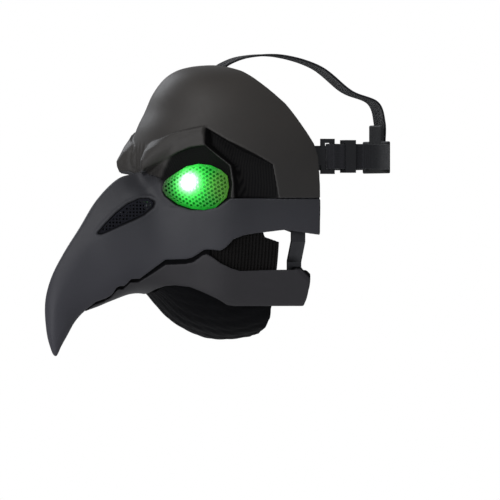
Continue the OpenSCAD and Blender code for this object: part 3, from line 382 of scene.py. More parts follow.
class Field:
    """A box of distances on a regular grid; lo is the first grid index."""

    def __init__(self, lo_mm, hi_mm, vox):
        self.vox = vox
        self.lo = np.floor(np.array(lo_mm) / vox).astype(int)
        self.shape = tuple(np.ceil(np.array(hi_mm) / vox).astype(int) - self.lo + 1)
        x, y, z = [((np.arange(self.shape[k]) + self.lo[k]) * vox).astype(np.float32) for k in range(3)]
        self.x = x[:, None, None]
        self.y = y[None, :, None]
        self.z = z[None, None, :]
        self.corner = tuple(int(k) for k in self.lo)

    def solid(self, form, half=8):
        """Distance to a closed solid, true to half grid steps either side of its surface."""
        pts, tri = form
        grid = vdb.FloatGrid.createLevelSetFromPolygons(
            np.ascontiguousarray(pts, dtype=np.float32), triangles=np.ascontiguousarray(tri, dtype=np.uint32),
            transform=vdb.createLinearTransform(self.vox), halfWidth=half)
        a = np.zeros(self.shape, np.float32)
        grid.copyToArray(a, ijk=self.corner)
        return a

    def both(self, form):
        """Distance to a solid and its mirror image, on a grid that is even about x = 0."""
        a = self.solid(form)
        return np.minimum(a, a[::-1])

    def poly(self, line):
        """Distance, in the side view, to a closed outline of y, z points; below zero inside."""
        yy, zz = np.meshgrid(self.y.ravel().astype(float), self.z.ravel().astype(float), indexing="ij")
        return outline(np.array(line, float), yy, zz).astype(np.float32)[None]

    def bars(self, r, x0, x1, y, z):
        """Distance to two round bars across the mask, one on each side."""
        round_ = np.sqrt((self.y - y) ** 2 + (self.z - z) ** 2) - r
        return np.maximum(round_, np.abs(np.abs(self.x) - (x0 + x1) / 2) - (x1 - x0) / 2)

    def surface(self, a):
        """Points and four-sided faces where the distance is zero."""
        band = 3 * self.vox
        grid = vdb.FloatGrid(band)
        grid.transform = vdb.createLinearTransform(self.vox)
        grid.copyFromArray(np.ascontiguousarray(np.clip(a, -band, band)), ijk=self.corner)
        pts, quads = grid.convertToQuads(isovalue=0.0)
        return np.asarray(pts, float), np.asarray(quads, np.int64)

    def mesh(self, a):
        return keep_big(*self.surface(a))


def keep_big(p, q, least=400, passes=400):
    """Drops crumbs with fewer faces than least, and turns the faces outwards."""
    label = np.arange(len(p))
    for _ in range(passes):
        lowest = label[q].min(1)
        new = label.copy()
        np.minimum.at(new, q.ravel(), np.repeat(lowest, 4))
        new = new[new]
        if (new == label).all():
            break
        label = new
    shell = label[q[:, 0]]
    ids, counts = np.unique(shell, return_counts=True)
    q = q[np.isin(shell, ids[counts >= least])]
    used, inverse = np.unique(q, return_inverse=True)
    return p[used], outwards(p[used], inverse.reshape(-1, 4))


def outwards(p, q):
    """The faces of a closed mesh, turned round if they look inwards."""
    a, b, c = p[q[:, 0]], p[q[:, 1]], p[q[:, 2]]
    return q[:, ::-1] if np.einsum("ij,ij->i", a, np.cross(b, c)).sum() < 0 else q


def smin(a, b, k):
    """Joins two fields with a fillet about k wide."""
    h = np.clip(0.5 + 0.5 * (b - a) / k, 0, 1)
    return b * (1 - h) + a * h - k * h * (1 - h)


def smax(a, b, k):
    """Keeps what two fields share, with an edge rounded about k wide."""
    return -smin(-a, -b, k)


def bell(v, w):
    return np.exp(-(v / w) ** 2)


def ramp(v, a, b):
    t = np.clip((v - a) / (b - a), 0, 1)
    return t * t * (3 - 2 * t)


FAR = 300


def above(line, shift=0.0, far=FAR):
    """Outline of all that lies over a line of the side view."""
    pts = np.array(line, float) + [0, shift]
    front = pts[0][0] - 60
    return np.concatenate([pts, [[pts[-1][0], far], [front, far], [front, pts[0][1]]]])


def below(line, shift=0.0):
    return above(line, shift, -FAR)


def ahead(line):
    """Outline of all that lies before a line that runs from top to bottom."""
    pts = np.array(line, float)
    return np.concatenate([pts, [[pts[-1][0], -FAR], [-FAR, -FAR], [-FAR, FAR], [pts[0][0], FAR]]])


# ---------- pieces ----------
def make(name, pts, faces, mat, body, slot, nodes=()):
    """A smooth mesh object from points in millimetres."""
    pts = np.asarray(pts, float) * 0.001
    faces = np.asarray(faces, np.int64)
    me = bpy.data.meshes.new(name)
    me.vertices.add(len(pts))
    me.vertices.foreach_set("co", pts.astype(np.float32).ravel())
    me.loops.add(faces.size)
    me.loops.foreach_set("vertex_index", faces.astype(np.int32).ravel())
    me.polygons.add(len(faces))
    me.polygons.foreach_set("loop_start", np.arange(len(faces), dtype=np.int32) * faces.shape[1])
    me.update(calc_edges=True)
    me.polygons.foreach_set("use_smooth", np.full(len(faces), True))
    me.update()
    o = bpy.data.objects.new(name, me)
    scene.collection.objects.link(o)
    o.data.materials.append(mat)
    if body:
        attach(o, body)
    if nodes:
        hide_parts(*nodes)
    return o


def both_sides(name, pts, faces, mat, body, slot, node):
    """The left piece and its mirror image."""
    make(name + "_left", pts, faces, mat, body, slot, [node + "_left"])
    make(name + "_right", pts * [-1, 1, 1], faces[:, ::-1], mat, body, slot, [node + "_right"])


# ---------- materials ----------
class Nodes:
    """A material with one principled shader, and short names for the nodes that feed it."""

    def __init__(self, name):
        self.m = bpy.data.materials.new(name)
        self.m.use_nodes = True
        self.tree = self.m.node_tree
        self.tree.nodes.clear()
        out = self.tree.nodes.new("ShaderNodeOutputMaterial")
        self.p = self.tree.nodes.new("ShaderNodeBsdfPrincipled")
        self.link(self.p.outputs[0], out.inputs["Surface"])
        self.co = self.put("TexCoord").outputs["Object"]

    def link(self, a, b):
        self.tree.links.new(a, b)

    def put(self, kind, inputs=(), **fields):
        """A new node; inputs gives a value, or an output to link, for each named socket."""
        node = self.tree.nodes.new("ShaderNode" + kind)
        for key, value in fields.items():
            setattr(node, key, value)
        for key, value in dict(inputs).items():
            self.feed(node.inputs[key], value)
        return node

    def feed(self, socket, value):
        if hasattr(value, "is_output"):
            self.link(value, socket)
        else:
            socket.default_value = value

    def noise(self, scale, detail=4.0, rough=0.55, co=None):
        sockets = {"Scale": scale, "Detail": detail, "Roughness": rough, "Vector": co or self.co}
        return self.put("TexNoise", sockets).outputs["Fac"]

    def wave(self, stretch, scale, direction, distort):
        """Sine bands over the object's own coordinates, stretched by axis."""
        co = self.stretched(stretch)
        node = self.put("TexWave", {"Scale": scale, "Distortion": distort, "Vector": co},
                        bands_direction=direction, wave_profile="SIN")
        return node.outputs["Fac"]

    def stretched(self, stretch):
        return self.put("Mapping", {"Scale": stretch, "Vector": self.co}).outputs[0]

    def axis(self, k, vector=None):
        return self.put("SeparateXYZ", {"Vector": vector or self.co}).outputs[k]

    def ramp(self, fac, stops):
        node = self.put("ValToRGB", {0: fac})
        elements = node.color_ramp.elements
        while len(elements) < len(stops):
            elements.new(0.5)
        for element, (at, colour) in zip(elements, stops):
            element.position = at
            element.color = (*colour, 1)
        return node.outputs[0]

    def fit(self, v, a, b, lo=0.0, hi=1.0):
        """The range a to b, mapped to lo to hi and held there."""
        sockets = {"Value": v, "From Min": a, "From Max": b, "To Min": lo, "To Max": hi}
        return self.put("MapRange", sockets).outputs[0]

    def calc(self, operation, a, b):
        node = self.put("Math", operation=operation)
        self.feed(node.inputs[0], a)
        self.feed(node.inputs[1], b)
        return node.outputs[0]

    def add(self, a, b):
        return self.calc("ADD", a, b)

    def times(self, a, b):
        return self.calc("MULTIPLY", a, b)

    def mix(self, fac, a, b):
        """Colour a, turned towards colour b by fac."""
        node = self.put("Mix", data_type="RGBA", blend_type="MIX")
        self.feed(node.inputs[0], fac)
        for socket, colour in ((node.inputs[6], a), (node.inputs[7], b)):
            self.feed(socket, colour if hasattr(colour, "is_output") else (*colour, 1))
        return node.outputs[2]

    def bump(self, height, distance, strength):
        node = self.put("Bump", {"Distance": distance, "Strength": strength, "Height": height})
        self.link(node.outputs[0], self.p.inputs["Normal"])

    def rough(self, fac, lo, hi):
        self.link(self.fit(fac, 0.0, 1.0, lo, hi), self.p.inputs["Roughness"])

    def colour(self, out):
        self.link(out, self.p.inputs["Base Color"])

    def set(self, **values):
        for key, value in values.items():
            self.p.inputs[key.replace("_", " ")].default_value = value


def shade_of(colour, share):
    return tuple(c * share for c in colour)


# paler grey of rubbed edges, also a painted highlight along crisp rims
RUBBED_HIGHLIGHT_GREY = (0.16, 0.16, 0.165)
# black of the painted shade in the pockets, the corners and the shell's inside
PAINTED_SHADE_BLACK = (0.0035, 0.0035, 0.004)


def shell_material(name, low, middle, high):
    """Painted moulding: satin charcoal with a soft drift of tone, fine grain, painted light and shade by
    height, edges rubbed paler and brightened as a painted highlight, and the painted shade of the 'shade'
    attribute.
    """
    n = Nodes(name)
    drift = n.noise(14, 3, 0.5)
    fine = n.noise(1500, 3, 0.6)
    grain = n.noise(240, 4, 0.6)
    # painted light and shade: the colour steps with height as the light falls on the mask
    base = n.ramp(n.fit(n.axis(2), -0.13, 0.095), [(0, low), (0.5, middle), (1, high)])
    base = n.mix(n.fit(drift, 0.3, 0.7, 0, 0.35), base, shade_of(low, 0.72))
    # rubbed edges turned paler: real wear, made strong enough to stand as a painted highlight along the crisp
    # rims
    edges = n.fit(n.put("NewGeometry").outputs["Pointiness"], 0.53, 0.6)
    rubbed_and_highlit = n.times(edges, n.fit(n.noise(160, 5, 0.7), 0.35, 0.65))
    base = n.mix(n.times(rubbed_and_highlit, 0.5), base, RUBBED_HIGHLIGHT_GREY)
    # painted shade: the 'shade' attribute turns the colour black, the surface rougher and its reflection
    # weaker
    painted_shade_fac = n.put("Attribute", attribute_name="shade").outputs["Fac"]
    n.colour(n.mix(painted_shade_fac, base, PAINTED_SHADE_BLACK))
    n.rough(n.add(n.add(n.times(grain, 0.6), n.times(drift, 0.4)), painted_shade_fac), 0.42, 0.6)
    n.link(n.fit(painted_shade_fac, 0, 1, 0.3, 0.03), n.p.inputs["Specular IOR Level"])
    n.bump(n.add(n.times(fine, 0.6), n.times(grain, 0.9)), 0.00012, 0.35)
    return n.m


def plastic(name, colour, rough=(0.35, 0.55), grain=900, depth=0.00012, gloss=0.35):
    n = Nodes(name)
    cloud = n.noise(60, 4, 0.6)
    n.colour(n.mix(n.fit(cloud, 0.3, 0.7, 0, 0.5), colour, shade_of(colour, 0.6)))
    n.rough(cloud, *rough)
    n.bump(n.noise(grain, 3, 0.6), depth, 0.5)
    n.set(Specular_IOR_Level=gloss)
    return n.m


def metal(name, colour, rough=(0.22, 0.42), streak=(1, 1, 30)):
    n = Nodes(name)
    lines = n.noise(260, 5, 0.7, n.stretched(streak))
    spots = n.noise(90, 4, 0.6)
    n.colour(n.mix(n.fit(spots, 0.45, 0.75, 0, 0.45), colour, shade_of(colour, 0.55)))
    n.rough(n.add(n.times(lines, 0.7), n.times(spots, 0.3)), *rough)
    n.bump(lines, 0.00005, 0.5)
    n.set(Metallic=1.0)
    return n.m


def webbing(name, colour, across, along_strap):
    """Woven elastic: cross ribs with a twill fleck and a soft sheen."""
    n = Nodes(name)
    ribs = n.wave(along_strap, 1.0, "X", 0.4)
    warp = n.wave(across, 1.0, "X", 0.3)
    fluff = n.noise(700, 5, 0.7)
    weave = n.add(n.times(ribs, 0.7), n.times(warp, 0.35))
    fleck = n.times(weave, n.fit(fluff, 0.3, 0.7, 0.5, 1))
    n.colour(n.mix(fleck, shade_of(colour, 0.45), colour))
    n.rough(fluff, 0.7, 0.95)
    n.bump(n.add(weave, n.times(fluff, 0.4)), 0.0003, 0.8)
    n.set(Sheen_Weight=0.25, Sheen_Roughness=0.4, Specular_IOR_Level=0.2)
    return n.m


def cloth(name, colour, scale=900, sheen=0.3, gloss=0.25):
    """Plain weave, with a slow drift of tone."""
    n = Nodes(name)
    weft = n.wave((1, 1, 0), scale, "DIAGONAL", 0.3)
    warp = n.wave((0, 0, 1), scale, "Z", 0.3)
    fluff = n.noise(300, 5, 0.65)
    weave = n.times(n.add(weft, warp), 0.5)
    tone_ = n.mix(n.fit(n.noise(22, 3, 0.5), 0.3, 0.7), colour, shade_of(colour, 1.5))
    n.colour(n.mix(n.times(weave, 0.6), tone_, shade_of(colour, 0.5)))
    n.rough(fluff, 0.65, 0.9)
    n.bump(n.add(weave, n.times(fluff, 0.6)), 0.0002, 0.7)
    n.set(Sheen_Weight=sheen, Sheen_Roughness=0.4, Specular_IOR_Level=gloss)
    return n.m


def foam(name, colour):
    n = Nodes(name)
    cells = n.put("TexVoronoi", {"Scale": 1100.0, "Vector": n.co}).outputs["Distance"]
    cloud = n.noise(200, 5, 0.7)
    n.colour(n.mix(cells, colour, shade_of(colour, 0.45)))
    n.rough(cloud, 0.8, 0.98)
    n.bump(n.add(cells, n.times(cloud, 0.7)), 0.00035, 0.7)
    n.set(Specular_IOR_Level=0.2, Sheen_Weight=0.1)
    return n.m


# the lamp's bright spot on the left screen, in metres; the right side mirrors it
HOT_SPOT = (0.0483, -0.0802, 0.0036)
OUTER_TINT = (0.28, 0.85, 0.05)
CORE_TINT = (0.55, 1.0, 0.6)


def glow(name, base, colour, core_r, halo, halo_r, level, rough=0.35, core=8.0):
    """Plastic lit from behind: light falls away from the lamp, and the corner by the nose stays dim."""
    n = Nodes(name)
    side = n.axis(0, n.put("VectorMath", {0: n.co}, operation="ABSOLUTE").outputs[0])
    place = n.put("CombineXYZ", {0: side, 1: n.axis(1), 2: n.axis(2)}).outputs[0]
    away = n.put("VectorMath", {0: place, 1: HOT_SPOT}, operation="DISTANCE").outputs["Value"]

    def fall(radius):
        """A bell curve round the bright spot."""
        return n.calc("POWER", 2.718, n.times(n.calc("POWER", n.calc("DIVIDE", away, radius), 2), -1))

    light = n.add(n.add(n.times(fall(core_r), core), n.times(fall(halo_r), halo)), level)
    patchy = n.fit(n.noise(420, 4, 0.6), 0.25, 0.7, 0.6, 1.2)
    light = n.times(light, n.times(n.fit(side, 0.0305, 0.0475, 0.05), patchy))
    back = n.axis(1, n.put("NewGeometry").outputs["Normal"])
    light = n.times(light, n.fit(back, 0.1, 0.3, 1.0, 0.06))
    tint = n.mix(n.times(n.fit(side, 0.0565, 0.0625), 0.75), colour, OUTER_TINT)
    tint = n.mix(n.times(fall(core_r * 1.25), 0.9), tint, CORE_TINT)
    n.link(tint, n.p.inputs["Emission Color"])
    n.link(light, n.p.inputs["Emission Strength"])
    n.colour(n.mix(n.noise(500, 4, 0.6), base, shade_of(base, 0.5)))
    n.rough(n.noise(300, 3), rough - 0.1, rough + 0.15)
    n.bump(n.noise(900, 3), 0.0001, 0.4)
    return n.m


def lamp_material():
    n = Nodes("lamp_diffuser")
    n.set(Emission_Color=(0.1, 1, 0.2, 1), Emission_Strength=0.8)
    n.colour(n.mix(n.noise(400, 3), (0.3, 0.8, 0.35), (0.6, 0.95, 0.6)))
    n.rough(n.noise(300, 3), 0.2, 0.4)
    return n.m


def floor_material():
    n = Nodes("floor_pale")
    n.colour(n.mix(n.noise(3, 2), (0.80, 0.80, 0.80), (0.83, 0.83, 0.82)))
    n.set(Roughness=0.8)
    return n.m


# paint, with painted light and shade by height: its colour at the bottom, the middle and the top of the mask;
# the forehead's top is painted lighter and warmer and the beak's lower part lighter and bluer, as the light
# falls
M_FORE = shell_material("paint_forehead", (0.029, 0.028, 0.028), (0.030, 0.028, 0.0265), (0.046, 0.04, 0.035))
M_BEAK = shell_material("paint_beak", (0.048, 0.047, 0.057), (0.031, 0.031, 0.036), (0.033, 0.032, 0.031))
M_JAW = shell_material("paint_jaw", (0.028, 0.0262, 0.0295), (0.028, 0.0262, 0.0295), (0.031, 0.029, 0.032))
M_SCREEN = glow("screen_green", (0.03, 0.045, 0.02), (0.004, 0.9, 0.05), 0.0062, 1.9, 0.0145, 0.2)
M_LENS = glow("lens_green", (0.01, 0.04, 0.015), (0.002, 0.5, 0.03), 0.007, 1.5, 0.014, 0.08, 0.25)
M_LAMP = lamp_material()
M_BLACK = plastic("black_plastic", (0.014, 0.014, 0.016))
M_GRILLE = plastic("grille_plastic", (0.006, 0.0062, 0.011), (0.35, 0.5), 700, gloss=0.2)
M_MESH = plastic("mesh_black", (0.006, 0.0052, 0.005), (0.6, 0.8), 500, gloss=0.1)
M_WHITE = plastic("nylon_washer", (0.62, 0.61, 0.57), (0.4, 0.6))
M_WIRE = plastic("wire_cover", (0.012, 0.012, 0.013), (0.3, 0.5), 500)
M_PATCH = plastic("patch_grain", (0.018, 0.018, 0.02), (0.45, 0.65), 420, 0.0004)
M_STEEL = metal("steel", (0.55, 0.56, 0.58))
M_OXIDE = metal("black_oxide_steel", (0.07, 0.07, 0.075), (0.3, 0.5))
M_PIN = metal("pin_steel", (0.62, 0.62, 0.64), (0.15, 0.3), (30, 1, 1))
M_CELL = metal("cell_steel", (0.66, 0.66, 0.67), (0.2, 0.35), (30, 30, 1))
M_BRASS = metal("brass", (0.78, 0.58, 0.25))
M_CLOTH = cloth("cover_cloth", (0.004, 0.004, 0.0048), 900, 0.01, 0.07)
M_BAND = cloth("band_rubber", (0.02, 0.02, 0.022), 500, 0.1)
M_THREAD = cloth("thread", (0.05, 0.05, 0.055), 1500, 0.4)
M_FOAM = foam("foam", (0.045, 0.045, 0.05))
M_WEB = webbing("webbing", (0.032, 0.032, 0.037), (0, 0, 1500), (700, 700, 0))
M_WEB_X = webbing("webbing_crown", (0.032, 0.032, 0.037), (1500, 0, 0), (0, 700, 700))

# the modelled nodes that stay visible, by name without their side
LOOK = {
    "eye_lens": M_LENS, "lamp": M_LAMP, "nostril_grille": M_GRILLE, "coin_cells": M_CELL,
    "contact_strip": M_BRASS, "hinge_pin": M_PIN, "lamp_wire": M_WIRE,
    **dict.fromkeys(["eye_frame", "lamp_bracket", "chin_cup", "case_bulkhead", "battery_case", "battery_lid",
                     "strap_anchor", "strap_slider", "crown_anchor"], M_BLACK),
    **dict.fromkeys(["eye_frame_screws", "bracket_screws", "jaw_arm_screws", "chin_bar_screw", "case_screws",
                     "anchor_rivets", "crown_screws"], M_STEEL),
    **dict.fromkeys(["hinge_bracket", "jaw_arm", "chin_bar"], M_OXIDE),
    **dict.fromkeys(["hinge_washers", "switch_slider"], M_WHITE),
}
for name, o in NODES.items():
    key = name.replace("_left", "").replace("_right", "")
    if key in LOOK:
        o.data.materials.clear()
        o.data.materials.append(LOOK[key])

# ---------- forehead and beak shells ----------
DOME_EDGE = [[-200, 11], [-104, 11], [-99, -4], [-95, -14], [-87, -14], [-80, -9.4], [100, -9.4]]
BRACKET_POSTS = [(-5, 0), (11, 0), (-5.5, -19), (13.2, -13)]
BAND_PEG = (-18, -27)
CROWN_POST = (9, -62, 85.7)
CROWN_SLOPE = math.radians(10)


def face_form(f):
    """Beak, dome and brows in one, with the bridge's swellings, before the pockets are cut."""
    dome = smax(f.solid(dome_form()), f.poly(above(DOME_EDGE)), 0.6)
    a = smin(f.solid(beak_form()), dome, 5.0)
    a = smin(a, f.both(brow_form()), 2.2)
    for s in (-1, 1):
        a = a - 1.9 * np.exp(-(((f.x - s * 19) / 8) ** 2 + ((f.y + 108) / 10) ** 2 + ((f.z + 3) / 7) ** 2))
    return a


def at_front(f):
    return ramp(-f.y, 84, 92)


def brow_folds(f):
    """Depth, 0 to 1 and over, of the folds between the brows, which fan out upwards."""
    spread = 1 + 0.018 * (f.z - 14)
    folds = bell(f.x, 1.1)
    for at, deep, wide in ((5.2, 0.9, 1.3), (10.5, 0.6, 1.5)):
        folds = folds + deep * (bell(f.x - at * spread, wide) + bell(f.x + at * spread, wide))
    return folds * ramp(f.z, 12, 17) * (1 - ramp(f.z, 27, 37)) * at_front(f)


def brow_crease(f):
    """The crease under the folds."""
    return bell(f.z - 12.6 - 0.02 * f.x * f.x, 1.1) * bell(f.x, 8) * at_front(f)


def nostril_lip(f, nose):
    """The rolled lip round each nostril, thicker along its top."""
    over = (f.z + 23.5) - 0.55 * (f.y + 121)
    return bell(nose - 1.7, 1.5) * (0.35 + 0.75 * ramp(over, -3, 4)) * ramp(np.abs(f.x), 8, 12)


def posts(f):
    """Posts inside the wall, for the hinge brackets, the return bands and the crown anchor."""
    stems = [f.bars(3.4, 73.25, 95, *place) for place in BRACKET_POSTS]
    stems.append(f.bars(1.6, 65.6, 90, *BAND_PEG))
    px, py, pz = CROWN_POST
    c, s = math.cos(CROWN_SLOPE), math.sin(CROWN_SLOPE)
    v = (f.y - py) * c + (f.z - pz) * s
    w = -(f.y - py) * s + (f.z - pz) * c
    stems.append(np.maximum(np.sqrt((np.abs(f.x) - px) ** 2 + (v - 4) ** 2) - 3.4, 1.9 - w))
    return stems


def painted_shade_field(f, skin, form, eye, groove, nose, folds):
    """Painted shade, 0 to 1, that turns the paint black where shade falls: in the pockets, the corner by the
    eye, the folds and inside.
    """
    # painted shade: the eye pockets and temple grooves (kept off their rims), the brow's shadow in the corner
    # by the eye, the nostrils, the shell's inner face and, lightly, the folds
    pockets = np.maximum(ramp(-eye, -1.0, -0.25) * 0.97, ramp(-groove, -0.9, -0.2) * 0.98)
    corner = np.exp(-((np.abs(f.x) - 27) ** 2 + (f.y + 97) ** 2 + (f.z - 11) ** 2) / 9.5 ** 2)
    corner = 0.92 * ramp(corner, 0.2, 0.7) * ramp(-form, -0.2, 0.9)
    shade = np.maximum(pockets * ramp(-form, 0.3, 1.4), corner)
    shade = np.maximum(shade, ramp(-nose, -1.0, -0.1))
    shade = np.maximum(shade, ramp(-skin, 0.9, 1.6))
    return np.maximum(shade, 0.35 * ramp(folds, 0.5, 1.2)).astype(np.float32)


def face_wall(f, skin):
    """The shell under the skin, thicker along the parting line, with its posts and openings."""
    thick = SHELL_T + 0.9 * bell(f.poly(above(PART_LINE)), 3.5)
    wall = smax(skin, -(skin + thick), 0.5)
    for stem in posts(f):
        wall = np.minimum(wall, np.maximum(stem, skin + 0.6))
    wall = np.minimum(wall, f.bars(2.5, 64.8, 65.7, *BAND_PEG))
    wall = smax(wall, -f.both(lens_hole()), 0.4)
    wall = smax(wall, -f.both(nose_loft([(-2.4, -3), (-2.4, -14)])), 0.4)
    rear = smax(f.poly(ahead(REAR_LINE)), np.where(f.z < 68, f.y - 20, np.float32(-50)) + 0 * f.x, 1.0)
    return smax(wall, rear, 0.9)


def halves(f, wall, skin):
    """Forehead and beak: they meet at the parting line, where the beak laps up behind the forehead."""
    front = ramp(-f.y, 86, 92)
    shut = 0.32 * front
    soft = 0.5 - 0.4 * front
    upper = smax(wall, f.poly(above(PART_LINE, 0.15)) - shut, soft)
    upper = np.maximum(upper, -np.maximum(skin + 1.4, f.poly(below(PART_LINE, 2.4))))
    lap = np.maximum(skin + 1.65, f.poly(below(PART_LINE, 2.1)))
    lower = smax(wall, np.minimum(f.poly(below(PART_LINE, -0.15)) - shut, lap), soft)
    return upper, smax(lower, f.poly(above(LIP_LINE)), 0.8)


def face(f):
    """Forehead, beak and their painted shade as fields."""
    eye, groove = f.both(eye_pocket()), f.both(groove_pocket())
    nose = f.both(nose_loft([(0, 10), (0, 0), (-1, -4.5)]))
    folds = brow_folds(f)
    form = face_form(f) + 1.35 * folds + 1.8 * brow_crease(f) - 0.85 * nostril_lip(f, nose)
    skin = smax(smax(smax(form, -eye, 0.9), -groove, 0.7), -nose, 1.6)
    upper, lower = halves(f, face_wall(f, skin), skin)
    return upper, lower, painted_shade_field(f, skin, form, eye, groove, nose, folds)


def skin_piece(name, f, solid, shade, mat, body, node):
    """A shell piece that keeps, as an attribute, how much painted shade each point has."""
    p, q = f.mesh(solid)
    o = make(name, p, q, mat, body, "shell", [node])
    g = p / f.vox - f.lo
    i = np.clip(np.floor(g).astype(int), 0, np.array(f.shape) - 2)
    t = g - i
    value = np.zeros(len(p))
    for k in range(8):
        step = np.array([k & 1, k >> 1 & 1, k >> 2])
        weight = np.prod(np.where(step, t, 1 - t), 1)
        value += weight * shade[tuple((i + step).T)]
    layer = o.data.attributes.new("shade", "FLOAT", "POINT")
    layer.data.foreach_set("value", np.clip(value, 0, 1).astype(np.float32))


face_grid = Field((-92, -188, -140), (92, 34, 104), 0.96)
upper, lower, shade = face(face_grid)
skin_piece("forehead_skin", face_grid, upper, shade, M_FORE, "mask", "forehead_shell")
skin_piece("beak_skin", face_grid, lower, shade, M_BEAK, "mask", "beak_shell")
del upper, lower, shade

# ---------- jaw ----------
JAW_INSET = 1.4
JAW_REAR = [[17, 200], [17, -60], [14, -100]]
ARM_POSTS = [(6, -67), (6, -76)]
BAR_POST_Y = -101


def jaw_field(f):
    """The lower beak: its wall, the tongue behind the upper beak's edge, and its posts; and its painted
    shade, black on the inner face and on the tongue.
    """
    skin = f.solid(beak_form(JAW_INSET, 13))
    # a shallow hollow along the side
    skin = skin + 0.9 * bell(f.poly(above(JAW_LINE)) + 9.5, 3.5) * ramp(np.abs(f.x), 18, 30)
    wall = smax(skin, -(skin + SHELL_T), 0.5)
    wall = smax(wall, f.poly(below(JAW_LINE)), 0.9)
    wall = smax(wall, f.poly(above(JAW_BASE)), 0.9)
    wall = smax(wall, f.poly(ahead(JAW_REAR)), 0.9)
    tongue = np.maximum(np.maximum(skin + 1.75, -(skin + 3.0)), f.poly(below(JAW_LINE, 7)))
    tongue = np.maximum(tongue, f.poly(above(JAW_LINE, -3)))
    wall = np.minimum(wall, np.maximum(tongue, np.maximum(-150 - f.y, f.y + 62) + 0 * f.x))
    bar_post = np.sqrt(f.x ** 2 + (f.y - BAR_POST_Y) ** 2) - 4.2
    bar_post = np.maximum(bar_post, np.maximum(-95 - f.z, f.z + 81.3))
    for stem in [f.bars(3.4, 63.25, 90, *place) for place in ARM_POSTS] + [bar_post]:
        wall = np.minimum(wall, np.maximum(stem, skin + 0.6))
    # painted shade: black on the jaw's inner face and on the tongue above the jaw line, where the gap under
    # the upper beak lies in shade
    over = ramp(-f.poly(above(JAW_LINE, 0.3)), -0.5, 0.5) + 0 * skin
    return wall, np.maximum(ramp(-skin, 0.9, 1.5), over).astype(np.float32)


jaw_grid = Field((-72, -170, -126), (72, 22, -48), 0.7)
skin_piece("jaw_skin", jaw_grid, *jaw_field(jaw_grid), M_JAW, "jaw", "jaw_shell")

# ---------- eye screens: a domed, perforated moulding ----------
HOLE_PITCH = 3.0
HOLE_TURN = math.radians(33)
SCREEN_T = 1.1
SCREEN_RISE = 7
SCREEN_SEAT = 1.15


def screen_reach(angle):
    """Distance from the lens's centre to its outline, by direction."""
    edge = densify(LENS_PTS, 8) - LENS_MID
    at = np.arctan2(edge[:, 1], edge[:, 0])
    order = np.argsort(at)
    at, far = at[order], np.hypot(edge[:, 0], edge[:, 1])[order]
    turn = 2 * np.pi
    return np.interp(angle, np.concatenate([at[-1:] - turn, at, at[:1] + turn]),
                     np.concatenate([far[-1:], far, far[:1]]))


def screen_field(f):
    """The screen in the lens's frame: along, up, and out of the lens."""
    dx, dy = f.x - LENS_MID[0], f.y - LENS_MID[1]
    r = np.sqrt(dx ** 2 + dy ** 2) + 1e-6
    reach = screen_reach(np.arctan2(dy, dx)[:, :, 0])[:, :, None] - 0.5
    height = SCREEN_SEAT + SCREEN_RISE * (1 - np.clip(r / reach, 0, 1) ** 2.2)
    grid = np.meshgrid(f.x.ravel().astype(float), f.y.ravel().astype(float), indexing="ij")
    edge = outline(LENS_PTS, *grid).astype(np.float32)[:, :, None] + 0.5
    # staggered rows of holes with rounded diamond mouths
    u = (dx * math.cos(HOLE_TURN) + dy * math.sin(HOLE_TURN)) / HOLE_PITCH
    v = (-dx * math.sin(HOLE_TURN) + dy * math.cos(HOLE_TURN)) / HOLE_PITCH
    row = np.floor(v)
    u = u + 0.5 * (row % 2)
    hu = np.abs((u - np.floor(u) - 0.5) * HOLE_PITCH)
    hv = np.abs((v - row - 0.5) * HOLE_PITCH)
    hole = np.maximum(hu * 0.92 + hv * 0.38, hv * 0.98 + hu * 0.25) - 0.93
    hole = np.maximum(hole, edge + 2.0)
    strand = 0.3 * np.cos(2 * np.pi * u) * np.cos(2 * np.pi * v)
    sheet = np.maximum(f.z - height + strand, height - SCREEN_T - f.z)
    return smax(smax(sheet, edge, 0.4), -hole, 0.3)


def eye_screens():
    f = Field((-3, -21, -2.5), (58, 21, 9.5), 0.3)
    p, q = f.mesh(screen_field(f))
    p = LENS_O + p[:, :1] * LENS_D + p[:, 1:2] * np.array([0, 0, 1.0]) + p[:, 2:3] * LENS_N
    a, b, c = p[q[:, 0]], p[q[:, 1]], p[q[:, 2]]
    if np.einsum("ij,ij->i", a - p.mean(0), np.cross(b - a, c - a)).sum() < 0:
        q = q[:, ::-1]
    both_sides("eye_mesh", p, q, M_SCREEN, "mask", "eye_screen", "eye_screen")


eye_screens()

# ---------- cheek mesh: pierced and ribbed ----------
MESH_PITCH_Y = 2.6
MESH_PITCH_Z = 2.2
MESH_HOLE = 0.62
FLANGE = [[-60, -42], [-53, -38], [-47, -32], [-38, -28], [-24, -28], [-23, -35], [-31, -36.2],
          [-39.7, -37.8], [-47, -40.6], [-52, -46], [-60, -48]]


def from_middle(v, pitch):
    """Distance from the middle of a repeated cell."""
    return np.abs((v / pitch) % 1 - 0.5) * pitch


def cheek_field(f):
    """The left mesh, with the solid flange by which it hangs from the beak."""
    inner = f.solid(beak_form(5, 12), 10)
    outer = f.solid(beak_form(2.55, 12), 10)
    area = f.poly(CHEEK_AREA)
    ribs = 0.3 * np.cos(2 * np.pi * f.y / MESH_PITCH_Y)
    sheet = np.maximum(inner + 0.3 - ribs, -(inner + 1.5))
    hole = np.maximum(from_middle(f.y, MESH_PITCH_Y), from_middle(f.z, MESH_PITCH_Z)) - MESH_HOLE
    hole = np.maximum(np.maximum(hole, area + 1.6), -(inner + 1.0))
    flange = np.maximum(np.maximum(outer, -(inner + 1.2)), f.poly(FLANGE))
    return smax(np.minimum(smax(sheet, -hole, 0.25), flange), area, 0.4)


cheek_grid = Field((36, -70, -73), (71, -8, -27), 0.36)
both_sides("cheek_net", *cheek_grid.mesh(cheek_field(cheek_grid)), M_MESH, "mask", "mesh_cloth", "cheek_mesh")

